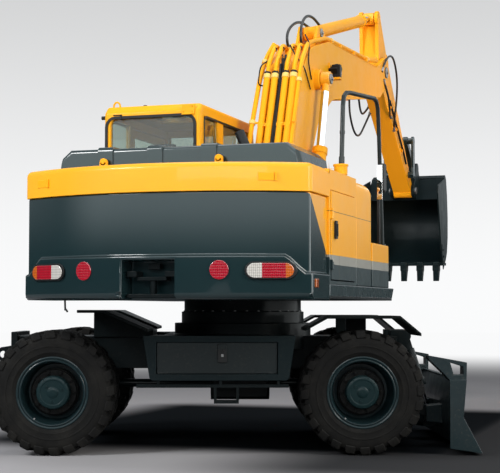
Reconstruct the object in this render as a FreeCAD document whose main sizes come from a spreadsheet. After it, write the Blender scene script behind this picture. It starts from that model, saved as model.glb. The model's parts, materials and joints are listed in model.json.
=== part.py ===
"""A wheeled excavator of the 18-tonne class, as separate pieces that move as the real ones do.

Row frame: +Y is the way the cab faces, +X is its right-hand side, +Z is up and the ground is z = 0.
The upper structure is drawn square to the row, and the undercarriage is turned beneath it.
Undercarriage pieces are drawn with +X towards the dozer blade and +Y away from the near wheels.
Boom, arm and bucket are each drawn about their own pin, +Y along the piece, and set at their angles.
"""
import FreeCAD
import Part
import Sketcher
import math
import os

Vector = FreeCAD.Vector

# Driving sizes: alias, millimetres or degrees, what it is
SIZES = (
    ("slew_x", 57, "slewing axis from the row's origin, to the right"),
    ("slew_y", -2499, "slewing axis from the row's origin, forwards"),
    ("slew_turn", 19, "undercarriage turned against the upper structure"),
    ("seat_gap", 0.3, "gap between curved pieces that seat on each other"),
    ("side_gap", 6, "running gap between a moving piece and its neighbour"),
    # wheels and axles
    ("wheel_radius", 535, "tyre over its lugs"),
    ("lug_height", 32, "depth of the grooves between the lugs"),
    ("lug_count", 24, "lugs round one tyre"),
    ("tyre_width", 275, "one tyre"),
    ("tread_width", 205, "flat part of the tread"),
    ("shoulder_radius", 470, "where the sidewall leaves the tread"),
    ("bead_radius", 305, "where the sidewall meets the rim"),
    ("rim_radius", 290, "seat of the tyre on the rim"),
    ("rim_wall", 16, "rim barrel"),
    ("rim_inset", 14, "rim edge inside the tyre's sidewall"),
    ("twin_pitch", 330, "between the middles of the twin tyres"),
    ("overall_width", 2500, "over the outer tyres"),
    ("disc_thick", 24, "wheel disc"),
    ("hub_radius", 143, "planetary hub"),
    ("drum_radius", 205, "hub drum with the wheel nuts"),
    ("drum_depth", 150, "hub drum outside the disc"),
    ("nut_circle", 170, "radius of the circle of wheel nuts"),
    ("nut_radius", 17, "wheel nut"),
    ("nut_count", 10, "wheel nuts"),
    ("stub_radius", 60, "stub axle in the hub"),
    ("stub_clearance", 1, "stub axle to hub"),
    ("steer_axle_x", -1630, "steered axle from the slewing axis"),
    ("fixed_axle_x", 1015, "fixed axle from the slewing axis"),
    ("kingpin_y", 620, "kingpin from the centre line"),
    ("knuckle_radius", 85, "knuckle round the kingpin"),
    ("knuckle_half", 120, "half of the knuckle's height"),
    ("yoke_thick", 36, "axle yoke over and under the knuckle"),
    ("axle_radius", 92, "axle tube"),
    ("diff_radius", 165, "differential housing"),
    ("diff_width", 300, "differential housing along the axle"),
    # chassis
    ("beam_front", -2060, "chassis beam at the steered end"),
    ("beam_rear", 1420, "chassis beam at the blade end"),
    ("beam_half", 320, "half width of the chassis beam"),
    ("beam_low", 705, "underside of the chassis beam"),
    ("beam_top", 1000, "top of the chassis beam"),
    ("tie_y", 230, "tie-down plates from the centre line"),
    ("tie_thick", 40, "tie-down plates"),
    ("tie_bore", 32, "hole in a tie-down plate"),
    ("tie_reach", 95, "that hole ahead of the beam's end plate"),
    ("tie_z", 830, "height of that hole"),
    ("turret_radius", 640, "round pedestal under the slewing ring"),
    ("turret_top", 1120, "top of the pedestal"),
    ("ring_radius", 575, "slewing ring"),
    ("ring_top", 1225, "top of the slewing ring"),
    ("box_left", -864, "tool box top edge, steered end"),
    ("box_right", 445, "tool box top edge, blade end"),
    ("box_lean", 60, "slope of the tool box ends"),
    ("box_low", 635, "tool box underside"),
    ("box_top", 1018, "tool box top"),
    ("box_face", 1200, "tool box outer face from the centre line"),
    ("box_depth", 520, "tool box across"),
    ("box_wall", 12, "tool box walls"),
    ("box_rim_side", 115, "frame beside the tool box door"),
    ("box_rim_low", 56, "frame under and over the tool box door"),
    ("door_thick", 14, "tool box door"),
    ("door_inset", 22, "tool box door behind the frame's face"),
    ("flap_pin", 5, "hinge pins of the tool box doors"),
    ("rail_low", 575, "underside of the rail below the tool box"),
    ("step_low", 440, "underside of the hanging step"),
    ("step_left", -256, "hanging step, steered side"),
    ("step_right", -43, "hanging step, blade side"),
    ("step_depth", 180, "hanging step across"),
    ("bar_thick", 22, "flat bars of the step"),
    ("fender_thick", 26, "fender plate"),
    ("fender_top", 1190, "flat part of the rear fender"),
    ("fender_lap", 10, "fender plate inside its post"),
    ("post_gap", 27, "fender post off the tyre"),
    ("post_thick", 60, "fender post across"),
    ("guard_top", 1240, "flat part of the front step plate"),
    ("guard_inner", 330, "inner edge of the front step plate"),
    ("gearbox_low", 430, "underside of the transfer box"),
    ("gearbox_half", 190, "half width of the transfer box"),
    ("shaft_radius", 38, "drive shaft"),
    # dozer blade
    ("blade_back", 1756, "back edge of the blade's end plates"),
    ("blade_top", 644, "top of the end plates"),
    ("blade_low", 20, "cutting edge above the ground"),
    ("blade_toe", 2030, "cutting edge from the slewing axis"),
    ("blade_waist", 1873, "narrow part of the end plates"),
    ("blade_plate", 36, "mouldboard"),
    ("end_plate", 25, "end plate"),
    ("blade_arm_y", 400, "blade arm from the centre line"),
    ("blade_arm_width", 70, "blade arm"),
    ("blade_pin_x", 1395, "blade arm pin on the chassis"),
    ("blade_pin_z", 420, "height of the blade arm pins"),
    ("blade_lug_x", 1735, "blade arm pin on the blade"),
    ("blade_lug_z", 300, "height of that pin"),
    ("lamp_arm_low", 660, "lamp bracket on the blade, underside"),
    ("lamp_arm_top", 850, "lamp bracket on the blade, top"),
    ("lamp_arm_x", 1580, "lamp bracket's inner end"),
    ("dozer_ram_y", 230, "blade cylinder from the centre line"),
    ("dozer_ram_x", 1500, "blade cylinder's upper pin"),
    ("dozer_ram_z", 1000, "height of that pin"),
    ("dozer_rod_x", 1738, "blade cylinder's lower pin"),
    ("dozer_rod_z", 230, "height of that pin"),
    ("dozer_bore", 52, "blade cylinder barrel radius"),
    ("dozer_rod", 26, "blade cylinder rod radius"),
    ("dozer_barrel", 480, "blade cylinder barrel from its pin"),
    ("dozer_start", 360, "inner end of the blade cylinder's rod"),
    # upper structure
    ("deck_low", 1330, "underside of the platform"),
    ("deck_top", 1450, "top of the platform"),
    ("deck_half", 1230, "half width of the platform"),
    ("body_half", 1245, "half width of the body"),
    ("deck_front", 1330, "platform under the cab"),
    ("skirt_front", 965, "front of the right-hand skirt"),
    ("tail_radius", 2360, "tail swing"),
    ("tail_step", 22, "upper part of the counterweight inside the lower part"),
    ("weight_low", 1320, "counterweight underside"),
    ("weight_step", 1664, "height of the step round the counterweight"),
    ("weight_corner", 1530, "height of that step round the corners"),
    ("weight_top", 2165, "counterweight top"),
    ("weight_front", -1480, "counterweight front"),
    ("weight_edge", 55, "rounding of the counterweight's lower edge"),
    ("recess_half", 222, "half width of the recess in the counterweight"),
    ("recess_top", 1630, "top of that recess"),
    ("recess_depth", 230, "depth of that recess"),
    ("cover_top", 2395, "top of the engine bay's cover"),
    ("band_round", 60, "rounding of the engine bay's rear corners"),
    ("cover_front", -560, "front of the engine bay"),
    ("cover_wall", 20, "body panels"),
    ("hood_left", -1090, "engine hood, left end"),
    ("hood_right", 1030, "engine hood, right end"),
    ("hood_rear", -1680, "engine hood, rear edge"),
    ("hood_front", -700, "engine hood, front edge"),
    ("hood_top", 2605, "engine hood top"),
    ("hood_pin", 7, "hinge pins of the engine hood"),
    ("strap_rise", 15, "raised straps over the engine hood"),
    ("strap_width", 135, "raised straps over the engine hood"),
    ("hood_round", 35, "rounding of the hood's rear edge"),
    ("hood_slope", 95, "sloping ends of the engine hood"),
    ("flank_front", 60, "front of the right-hand body"),
    ("flank_low", 1450.3, "lower edge of the body doors"),
    ("flank_inner", 560, "inner side of the right-hand body"),
    ("flank_top", 2395, "top of the right-hand body"),
    ("door_pin", 11, "hinge pins of the body doors"),
    ("engine_left", -700, "engine block, left side"),
    ("engine_right", 650, "engine block, right side"),
    ("engine_top", 2250, "engine block, top"),
    ("lamp_x", 955, "tail lamp from the middle"),
    ("lamp_z", 1545, "height of the tail lamps"),
    ("lamp_half", 118, "half of a tail lamp between its round ends"),
    ("lamp_rise", 70, "half the height of a tail lamp"),
    ("lamp_depth", 22, "tail lamp in front of the counterweight"),
    ("reflector_x", 573, "round reflector from the middle"),
    ("reflector_radius", 75, "round reflector"),
    ("reflector_thick", 8, "round reflector"),
    ("filler_x", 1000, "tank filler"),
    ("filler_y", -190, "tank filler"),
    ("rail_x", 1190, "handrail"),
    ("rail_foot", -880, "handrail's rear foot"),
    ("rail_rear", -815, "handrail's rear bend"),
    ("rail_front", 490, "handrail's front bend"),
    ("rail_top", 3252, "top of the handrail"),
    ("rail_radius", 20, "handrail tube"),
    ("pipe_x", 250, "exhaust pipe"),
    ("pipe_y", -470, "exhaust pipe"),
    ("pipe_top", 2870, "top of the exhaust pipe"),
    ("pipe_radius", 46, "exhaust pipe"),
    ("pipe_upright", 190, "upright part of the exhaust pipe above the engine bay"),
    ("pipe_lean", 24, "lean of the pipe's upper end towards the cab"),
    ("mirror_y", 560, "right-hand mirror"),
    ("mirror_z", 2400, "foot of the mirror's head"),
    ("mirror_wide", 130, "width of the mirror's head"),
    ("stepbox_top", 1860, "top of the step box ahead of the right-hand body"),
    ("stepbox_front", 760, "front of the step box"),
    # cab
    ("cab_left", -1240, "cab's left side"),
    ("cab_right", -262, "cab's right side"),
    ("cab_rear", -450, "cab's rear"),
    ("cab_front", 1300, "cab's front at the floor"),
    ("cab_nose", 1120, "cab's front at the roof"),
    ("cab_floor", 1455, "underside of the cab"),
    ("cab_mount", 60, "mounts under the cab"),
    ("cab_roof", 3165, "cab roof"),
    ("cab_round", 40, "rounding of the cab's roof"),
    ("cab_wall", 55, "cab walls"),
    ("cab_sill", 2330, "lower edge of the cab's windows"),
    ("window_top", 3050, "upper edge of the cab's windows"),
    ("pane_thick", 8, "window panes"),
    ("cabdoor_rear", 130, "rear edge of the cab door"),
    ("cabdoor_front", 1050, "front edge of the cab door"),
    ("cabdoor_low", 1560, "lower edge of the cab door"),
    ("cabdoor_top", 3030, "upper edge of the cab door"),
    ("cabdoor_frame", 75, "frame of the cab door"),
    ("leaf_thick", 40, "cab door's leaf"),
    ("hinge_pin", 18, "cab door's hinge pins"),
    ("hinge_out", 24, "cab door's hinge pins outside the cab"),
    ("pane_corner", 70, "rounded corners of the rear window"),
    ("pane_side", 70, "window openings in from the cab's sides"),
    ("pillar_lean", 130, "lean of the front pillars"),
    ("seat_y", 150, "operator's seat"),
    ("seat_z", 2000, "top of the seat cushion"),
    # boom
    ("boom_x", 170, "middle plane of the boom"),
    ("boom_foot_y", 250, "boom foot pin"),
    ("boom_foot_z", 1850, "height of the boom foot pin"),
    ("boom_length", 5050, "boom foot pin to arm pin"),
    ("boom_angle", 28.5, "line of the boom's pins above level"),
    ("boom_half", 185, "half width of the boom"),
    ("boom_pin", 45, "pins of the boom and arm"),
    ("foot_boss", 150, "boom foot boss"),
    ("nose_boss", 190, "boom nose boss"),
    ("nose_depth", 470, "slot in the boom's nose for the arm"),
    ("rod_pin_y", 1790, "boom cylinder's pin along the boom"),
    ("rod_pin_z", 1050, "boom cylinder's pin above the pins' line"),
    ("arm_lug_back", 2550, "arm cylinder's lug behind the arm pin"),
    ("arm_lug_z", 1335, "arm cylinder's pin above the pins' line"),
    ("line_radius", 30, "hydraulic pipes on the boom"),
    ("pipe_standoff", 25, "those pipes off the boom's back"),
    ("lamp_boom_y", 2390, "boom lamp along the boom"),
    ("lamp_boom_z", 940, "boom lamp above the pins' line"),
    ("lug_thick", 35, "cylinder lug plates"),
    ("bracket_thick", 28, "plates that carry the boom's foot"),
    ("ram_pin_y", 640, "boom cylinder's lower pin"),
    ("ram_pin_z", 1600, "height of that pin"),
    ("boom_ram_offset", 300, "boom cylinder from the boom's middle plane"),
    ("boom_bore", 70, "boom cylinder barrel radius"),
    ("boom_rod", 40, "boom cylinder rod radius"),
    ("barrel_neck", 130, "neck between a barrel's eye and its tube"),
    ("boom_barrel", 1350, "boom cylinder barrel from its pin"),
    ("boom_start", 700, "inner end of the boom cylinder's rod"),
    ("rod_eye", 78, "eye of the boom cylinder's rod"),
    ("rod_eye_half", 45, "half width of that eye"),
    # arm
    ("arm_length", 2350, "arm pin to bucket pin"),
    ("arm_angle", -35, "line of the arm's pins above level"),
    ("arm_half", 125, "half width of the arm"),
    ("arm_boss", 145, "arm boss at the boom's nose"),
    ("tip_boss", 95, "arm boss at the bucket"),
    ("tail_y", -480, "arm cylinder's pin behind the arm pin"),
    ("tail_z", 500, "arm cylinder's pin above the arm's line"),
    ("arm_bore", 72, "arm cylinder barrel radius"),
    ("arm_rod", 44, "arm cylinder rod radius"),
    ("arm_barrel", 2380, "arm cylinder barrel from its pin"),
    ("arm_start", 530, "inner end of the arm cylinder's rod"),
    ("dipper_lug_y", 260, "bucket cylinder's lug along the arm"),
    ("dipper_lug_z", 470, "bucket cylinder's pin above the arm's line"),
    ("dipper_bore", 62, "bucket cylinder barrel radius"),
    ("dipper_rod", 36, "bucket cylinder rod radius"),
    ("dipper_barrel", 1075, "bucket cylinder barrel from its pin"),
    ("dipper_start", 300, "inner end of the bucket cylinder's rod"),
    # bucket linkage and bucket
    ("idler_back", 320, "idler pin behind the bucket pin"),
    ("idler_z", 20, "idler pin above the arm's line"),
    ("idler_length", 470, "idler between its pins"),
    ("idler_angle", 91, "idler above level"),
    ("idler_thick", 34, "idler plates"),
    ("idler_radius", 62, "ends of the idler and the link"),
    ("link_pin_y", 190, "link pin ahead of the bucket pin"),
    ("link_pin_z", 330, "link pin above the bucket pin"),
    ("bucket_half", 555, "half width of the bucket"),
    ("bucket_wall", 22, "bucket plates"),
    ("ear_thick", 40, "bucket ears"),
    ("ear_radius", 95, "ends of the bucket ears"),
    ("bucket_taper", 62, "narrowing of each side over the bucket's depth"),
    ("tooth_count", 5, "bucket teeth"),
    ("tooth_reach", 455, "outermost teeth from the middle"),
    ("tooth_width", 78, "tooth"),
    ("tooth_length", 230, "tooth ahead of the lip"),
)


class Size:
    """A size as its number now, and as the formula that binds it to the sheet of sizes."""

    def __init__(self, number, formula):
        self.number = float(number)
        self.formula = formula

    def __add__(self, other):
        other = as_size(other)
        return Size(self.number + other.number, f"({self.formula} + {other.formula})")

    def __radd__(self, other):
        return as_size(other) + self

    def __sub__(self, other):
        other = as_size(other)
        return Size(self.number - other.number, f"({self.formula} - {other.formula})")

    def __rsub__(self, other):
        return as_size(other) - self

    def __mul__(self, other):
        other = as_size(other)
        return Size(self.number * other.number, f"({self.formula} * {other.formula})")

    def __rmul__(self, other):
        return as_size(other) * self

    def __truediv__(self, other):
        other = as_size(other)
        return Size(self.number / other.number, f"({self.formula} / {other.formula})")

    def __neg__(self):
        return Size(-self.number, f"(0 - {self.formula})")


def as_size(thing):
    """A Size from a Size or a plain number."""
    if isinstance(thing, Size):
        return thing
    return Size(thing, f"({float(thing):.10g})")


def cosine(angle):
    return Size(math.cos(math.radians(angle.number)), f"cos({angle.formula})")


def sine(angle):
    return Size(math.sin(math.radians(angle.number)), f"sin({angle.formula})")


def root(thing):
    return Size(math.sqrt(thing.number), f"sqrt({thing.formula})")


def bearing(run, rise):
    """The angle of a line above level, in degrees."""
    degrees = math.degrees(math.atan2(rise.number, run.number))
    return Size(degrees, f"(atan2({rise.formula}; {run.formula}) / 1 deg)")


class Sheet:
    """The sheet of driving sizes; each alias is an attribute that gives a Size."""

    def __init__(self, document):
        self.cells = document.addObject("Spreadsheet::Sheet", "sizes")
        for row, (alias, value, note) in enumerate(SIZES, 1):
            self.cells.set(f"A{row}", note)
            self.cells.set(f"B{row}", str(value))
            self.cells.setAlias(f"B{row}", alias)
            setattr(self, alias, Size(value, f"sizes.{alias}"))


doc = FreeCAD.newDocument("wheeled_excavator")
s = Sheet(doc)
doc.recompute()

nodes = []  # the finished sub-parts, in the order they are made


# ---------------------------------------------------------------- making shapes

def bind(thing, name, size):
    """Binds one property of an object to its formula."""
    thing.setExpression(name, as_size(size).formula)


def settle(thing, at=(0, 0, 0), axis=None, angle=0):
    """Places an object: turned about an axis by an angle, then moved."""
    at = [as_size(value) for value in at]
    angle = as_size(angle)
    turn = FreeCAD.Rotation(Vector(*(axis or (0, 0, 1))), angle.number)
    thing.Placement = FreeCAD.Placement(Vector(*(value.number for value in at)), turn)
    for letter, value in zip("xyz", at):
        bind(thing, f"Placement.Base.{letter}", value)
    if axis and "sizes." in angle.formula:
        bind(thing, "Placement.Rotation.Angle", angle)
    return thing


def box(low, high):
    """A box between two corners."""
    made = doc.addObject("Part::Box", "box")
    for name, start, end in zip(("Length", "Width", "Height"), low, high):
        bind(made, name, as_size(end) - start)
    return settle(made, low)


LYING = {"X": ((0, 1, 0), 90), "Y": ((1, 0, 0), -90), "Z": ((0, 0, 1), 0)}


def cylinder(radius, start, end, axis, centre):
    """A cylinder along a row axis between two stations, about a centre in the other two axes."""
    made = doc.addObject("Part::Cylinder", "cylinder")
    bind(made, "Radius", radius)
    bind(made, "Height", as_size(end) - start)
    at = list(centre)
    at.insert("XYZ".index(axis), start)
    direction, degrees = LYING[axis]
    settle(made, at, direction, degrees)
    return made


def cone(radius, far_radius, start, end, axis, centre):
    """A frustum along a row axis, from one station to the other."""
    made = doc.addObject("Part::Cone", "cone")
    bind(made, "Radius1", radius)
    bind(made, "Radius2", far_radius)
    bind(made, "Height", as_size(end) - start)
    at = list(centre)
    at.insert("XYZ".index(axis), start)
    direction, degrees = LYING[axis]
    return settle(made, at, direction, degrees)


def fuse(*pieces):
    made = doc.addObject("Part::MultiFuse", "fuse")
    made.Shapes = list(pieces)
    made.Refine = True
    return made


def cut(base, *tools):
    made = doc.addObject("Part::Cut", "cut")
    made.Base = base
    made.Tool = tools[0] if len(tools) == 1 else fuse(*tools)
    made.Refine = True
    return made


def common(first, second):
    made = doc.addObject("Part::MultiCommon", "common")
    made.Shapes = [first, second]
    return made


def together(*pieces):
    """Solids of one node that don't touch."""
    made = doc.addObject("Part::Compound", "group")
    made.Links = list(pieces)
    return made


PLANES = {"XY": "XY_Plane", "XZ": "XZ_Plane", "YZ": "YZ_Plane"}
ALONG = {"XY": "z", "XZ": "y", "YZ": "x"}


def plate(plane, outline, low, high, rounds=()):
    """An outline of corners drawn on a plane and padded between two stations along its normal.

    rounds holds (corner number, radius) for the corners that are rounded.
    """
    body = doc.addObject("PartDesign::Body", "plate")
    sketch = body.newObject("Sketcher::SketchObject", "outline")
    support = [o for o in body.Origin.OriginFeatures if o.Role == PLANES[plane]][0]
    sketch.AttachmentSupport = [(support, "")]
    sketch.MapMode = "FlatFace"
    corners = [(as_size(a), as_size(b)) for a, b in outline]
    count = len(corners)
    for number, (a, b) in enumerate(corners):
        c, d = corners[(number + 1) % count]
        line = Part.LineSegment(Vector(a.number, b.number, 0), Vector(c.number, d.number, 0))
        sketch.addGeometry(line, False)
    for number in range(count):
        joint = Sketcher.Constraint("Coincident", number, 2, (number + 1) % count, 1)
        sketch.addConstraint(joint)
    for number, corner in enumerate(corners):
        for kind, value in zip(("DistanceX", "DistanceY"), corner):
            rule = Sketcher.Constraint(kind, -1, 1, number, 1, value.number)
            index = sketch.addConstraint(rule)
            bind(sketch, f"Constraints[{index}]", value)
    pad = body.newObject("PartDesign::Pad", "pad")
    pad.Profile = sketch
    pad.Midplane = True
    bind(pad, "Length", as_size(high) - low)
    middle = (as_size(low) + high) / 2
    settle(body, [middle if letter == ALONG[plane] else 0 for letter in "xyz"])
    if rounds:
        doc.recompute([sketch, pad, body])
        for number, radius in rounds:
            round_corner(body, plane, corners[number], radius)
    return body


def round_corner(body, plane, corner, radius):
    """Rounds the padded edge that stands on one corner of the outline."""
    base = body.Tip
    shape = base.Shape
    across = {"XY": (0, 1), "XZ": (0, 2), "YZ": (1, 2)}[plane]
    for index, edge in enumerate(shape.Edges, 1):
        ends = [vertex.Point for vertex in edge.Vertexes]
        misses = [abs(end[a] - c.number) for end in ends for a, c in zip(across, corner)]
        if len(ends) == 2 and max(misses) < 0.01:
            rounding = body.newObject("PartDesign::Fillet", "rounding")
            rounding.Base = (base, [f"Edge{index}"])
            bind(rounding, "Radius", radius)
            body.Tip = rounding
            doc.recompute([rounding, body])
            return
    raise RuntimeError("no edge stands on that corner")


def soften(piece, radius, wanted):
    """Rounds the edges of a piece whose ends the function wanted accepts."""
    doc.recompute()
    made = doc.addObject("Part::Fillet", "softened")
    made.Base = piece
    size = as_size(radius).number
    edges = []
    for index, edge in enumerate(piece.Shape.Edges, 1):
        if wanted(edge):
            edges.append((index, size, size))
    made.Edges = edges
    return made


def washers(radius, middle, half, gap, axis, centre):
    """Thrust washers on both cheeks of a fork, a hair off the eye that turns between them."""
    made = []
    for side in (-1, 1):
        near, far = middle + side * (half + s.seat_gap), middle + side * (half + gap + 4)
        low, high = sorted((as_size(near), as_size(far)), key=lambda size: size.number)
        made.append(cylinder(radius, low, high, axis, centre))
    return made


CARRIERS = ("Part::MultiFuse", "Part::Cut", "Part::Compound")


def rod_between(start, end, radius):
    """A straight bar between two points of one upright plane along Y."""
    run = as_size(end[1]) - start[1]
    rise = as_size(end[2]) - start[2]
    made = doc.addObject("Part::Cylinder", "bar")
    bind(made, "Radius", radius)
    bind(made, "Height", root(run * run + rise * rise))
    settle(made, start, (1, 0, 0), bearing(run, rise) - 90)
    return made


def ball(radius, at):
    made = doc.addObject("Part::Sphere", "ball")
    bind(made, "Radius", radius)
    return settle(made, at)


def node(piece, label, frame):
    """Names a finished sub-part and sets it in the row frame."""
    if piece.TypeId not in CARRIERS:
        piece = together(piece)
    piece.Label = label
    frame(piece)
    nodes.append(piece)
    return piece


# ---------------------------------------------------------------- frames

def upper(piece):
    """Upper structure: square to the row, on the slewing axis."""
    settle(piece, (s.slew_x, s.slew_y, 0))


def under(piece):
    """Undercarriage: turned on the slewing axis."""
    settle(piece, (s.slew_x, s.slew_y, 0), (0, 0, 1), s.slew_turn)


boom_foot = (s.slew_x + s.boom_x, s.slew_y + s.boom_foot_y, s.boom_foot_z)


def along(start, angle, run, rise):
    """A point in a piece's own frame, carried into the row frame."""
    return (
        start[0],
        start[1] + run * cosine(angle) - rise * sine(angle),
        start[2] + run * sine(angle) + rise * cosine(angle),
    )


arm_pin = along(boom_foot, s.boom_angle, s.boom_length, as_size(0))
bucket_pin = along(arm_pin, s.arm_angle, s.arm_length, as_size(0))


def on_boom(piece):
    settle(piece, boom_foot, (1, 0, 0), s.boom_angle)


def on_arm(piece):
    settle(piece, arm_pin, (1, 0, 0), s.arm_angle)


def on_bucket(piece):
    settle(piece, bucket_pin)


# ---------------------------------------------------------------- wheels

tyre_out = s.overall_width / 2
outer_middle = tyre_out - s.tyre_width / 2
inner_middle = outer_middle - s.twin_pitch
disc_middle = (outer_middle + inner_middle) / 2
wheel_inside = inner_middle - s.tyre_width / 2
post_out = wheel_inside - s.post_gap
post_in = post_out - s.post_thick
fender_inner = post_in - s.fender_lap


def lug_ring(middle, side, axle_x):
    """The tread of one tyre: a toothed ring as wide as the flat of the tread."""
    count = int(s.lug_count.number)
    start = (side * middle - s.tread_width / 2).number
    corners = []
    for lug in range(count):
        for share, sunk in ((0.0, 0), (0.52, 0), (0.6, 1), (0.92, 1)):
            angle = 2 * math.pi * (lug + share) / count
            reach = (s.wheel_radius - s.lug_height * sunk).number
            across = axle_x.number + reach * math.cos(angle)
            up = s.wheel_radius.number + reach * math.sin(angle)
            corners.append(Vector(across, start, up))
    outline = Part.Face(Part.makePolygon(corners + corners[:1]))
    made = doc.addObject("Part::Feature", "lugs")
    made.Shape = outline.extrude(Vector(0, s.tread_width.number, 0))
    return made


def tyre(middle, side, axle_x):
    """One tyre: lugged tread, two sidewalls that narrow to the rim, and its bore."""
    centre = (axle_x, s.wheel_radius)
    at = side * middle
    half_tread = s.tread_width / 2
    half = s.tyre_width / 2
    wall_out = cone(s.shoulder_radius, s.bead_radius + 60, at + half_tread, at + half, "Y", centre)
    wall_in = cone(s.bead_radius + 60, s.shoulder_radius, at - half, at - half_tread, "Y", centre)
    bore = cylinder(s.rim_radius + s.seat_gap, at - half - 1, at + half + 1, "Y", centre)
    return cut(fuse(lug_ring(middle, side, axle_x), wall_out, wall_in), bore)


def rims(side, axle_x):
    """Twin rims on one disc, with the planetary hub, its drum and the wheel nuts."""
    centre = (axle_x, s.wheel_radius)
    inner = wheel_inside + s.rim_inset
    outer = tyre_out - s.rim_inset

    def ring(radius, bore, start, end):
        first, last = sorted((side * start, side * end), key=lambda size: size.number)
        solid = cylinder(radius, first, last, "Y", centre)
        return cut(solid, cylinder(bore, first - 1, last + 1, "Y", centre))

    def disc(radius, start, end):
        first, last = sorted((side * start, side * end), key=lambda size: size.number)
        return cylinder(radius, first, last, "Y", centre)

    barrel = ring(s.rim_radius, s.rim_radius - s.rim_wall, inner, outer)
    web = disc(s.rim_radius - 1, disc_middle - s.disc_thick / 2, disc_middle + s.disc_thick / 2)
    drum = disc(s.drum_radius, disc_middle, disc_middle + s.drum_depth)
    hub = disc(s.hub_radius, disc_middle - 110, tyre_out - 40)
    pieces = [barrel, web, drum, hub]
    for number in range(int(s.nut_count.number)):
        angle = as_size(360 * number / s.nut_count.number)
        nut = disc(s.nut_radius, disc_middle + s.drum_depth - 1, disc_middle + s.drum_depth + 26)
        settle(nut, (
            axle_x + s.nut_circle * cosine(angle),
            side * (disc_middle + s.drum_depth) + (0 if side > 0 else -26),
            s.wheel_radius + s.nut_circle * sine(angle),
        ), *LYING["Y"])
        pieces.append(nut)
    bore_end = disc_middle + 30
    bore = disc(s.stub_radius + s.stub_clearance, disc_middle - 200, bore_end)
    return cut(fuse(*pieces), bore)


# label, axle, side of the machine: -1 is the near side
WHEELS = (
    ("steered_near", s.steer_axle_x, -1),
    ("steered_far", s.steer_axle_x, 1),
    ("fixed_near", s.fixed_axle_x, -1),
    ("fixed_far", s.fixed_axle_x, 1),
)
for label, axle_x, side in WHEELS:
    pair = together(tyre(outer_middle, side, axle_x), tyre(inner_middle, side, axle_x))
    node(pair, f"tyres_{label}", under)
    node(rims(side, axle_x), f"rims_{label}", under)


# ---------------------------------------------------------------- axles and steering

def axle_body(axle_x, reach):
    """Axle tube with its differential housing."""
    centre = (axle_x, s.wheel_radius)
    tube = cylinder(s.axle_radius, -reach, reach, "Y", centre)
    half = s.diff_width / 2
    housing = cylinder(s.diff_radius, -half, half, "Y", centre)
    flank = cone(s.diff_radius, s.axle_radius, half, half + 110, "Y", centre)
    other = cone(s.axle_radius, s.diff_radius, -half - 110, -half, "Y", centre)
    return [tube, housing, flank, other]


pieces = axle_body(s.steer_axle_x, s.kingpin_y - s.knuckle_radius - 55)
for side in (-1, 1):
    for level in (-1, 1):
        near = s.wheel_radius + level * (s.knuckle_half + s.side_gap)
        far = near + level * s.yoke_thick
        low, high = sorted((near, far), key=lambda size: size.number)
        start, end = side * (s.kingpin_y - s.knuckle_radius - 85), side * s.kingpin_y
        start, end = sorted((start, end), key=lambda size: size.number)
        pieces.append(box((s.steer_axle_x - 70, start, low), (s.steer_axle_x + 70, end, high)))
        pieces.append(cylinder(70, low, high, "Z", (s.steer_axle_x, side * s.kingpin_y)))
    start, end = side * (s.kingpin_y - s.knuckle_radius - 85), side * (s.kingpin_y - s.knuckle_radius - 40)
    start, end = sorted((start, end), key=lambda size: size.number)
    reach = s.knuckle_half + s.side_gap + s.yoke_thick
    pieces.append(box(
        (s.steer_axle_x - 70, start, s.wheel_radius - reach),
        (s.steer_axle_x + 70, end, s.wheel_radius + reach),
    ))
for side in (-1, 1):
    kingpin = (s.steer_axle_x, side * s.kingpin_y)
    pieces += washers(45, s.wheel_radius, s.knuckle_half, s.side_gap, "Z", kingpin)
pad = box(
    (s.steer_axle_x - 110, -200, s.wheel_radius),
    (s.steer_axle_x + 110, 200, s.beam_low),
)
node(fuse(pad, *pieces), "steered_axle", under)

pad = box(
    (s.fixed_axle_x - 120, -s.beam_half + 10, s.wheel_radius),
    (s.fixed_axle_x + 120, s.beam_half - 10, s.beam_low),
)
fixed = axle_body(s.fixed_axle_x, wheel_inside + 60)
for side in (-1, 1):
    start, end = sorted((side * wheel_inside, side * (disc_middle + 20)), key=lambda z: z.number)
    fixed.append(cylinder(s.stub_radius, start, end, "Y", (s.fixed_axle_x, s.wheel_radius)))
node(fuse(pad, *fixed), "fixed_axle", under)

for label, side in (("near", -1), ("far", 1)):
    at = (s.steer_axle_x, side * s.kingpin_y)
    low, high = s.wheel_radius - s.knuckle_half, s.wheel_radius + s.knuckle_half
    body = cylinder(s.knuckle_radius, low, high, "Z", at)
    start, end = sorted((side * s.kingpin_y, side * (disc_middle + 20)), key=lambda z: z.number)
    stub = cylinder(s.stub_radius, start, end, "Y", (s.steer_axle_x, s.wheel_radius))
    node(fuse(body, stub), f"knuckle_{label}", under)


# ---------------------------------------------------------------- chassis

beam = box((s.beam_front, -s.beam_half, s.beam_low), (s.beam_rear, s.beam_half, s.beam_top))
turret = cylinder(s.turret_radius, s.beam_top - 120, s.turret_top, "Z", (0, 0))
cheek = box(
    (s.box_left + 150, -(s.box_face - s.box_depth), s.beam_low),
    (s.box_right - 150, s.box_face - s.box_depth, s.box_top),
)
tower = plate("XZ", (
    (s.steer_axle_x + 260, s.beam_top - 10),
    (s.steer_axle_x + 260, s.guard_top - s.fender_thick),
    (s.steer_axle_x + 430, s.guard_top - s.fender_thick),
    (s.box_left + 40, s.box_top + 60 - s.fender_thick),
    (s.box_left + 40, s.beam_top - 10),
), -s.guard_inner - 10, s.guard_inner + 10)
nose = box(
    (s.beam_front - 60, -s.beam_half - 60, s.beam_low + 40),
    (s.beam_front, s.beam_half + 60, s.beam_top + 40),
)
arches = [
    box(
        (s.fixed_axle_x - 90, -post_out if side < 0 else s.beam_half, s.beam_top - 60),
        (s.fixed_axle_x + 90, -s.beam_half if side < 0 else post_out, s.beam_top),
    )
    for side in (-1, 1)
]
posts = []
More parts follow.
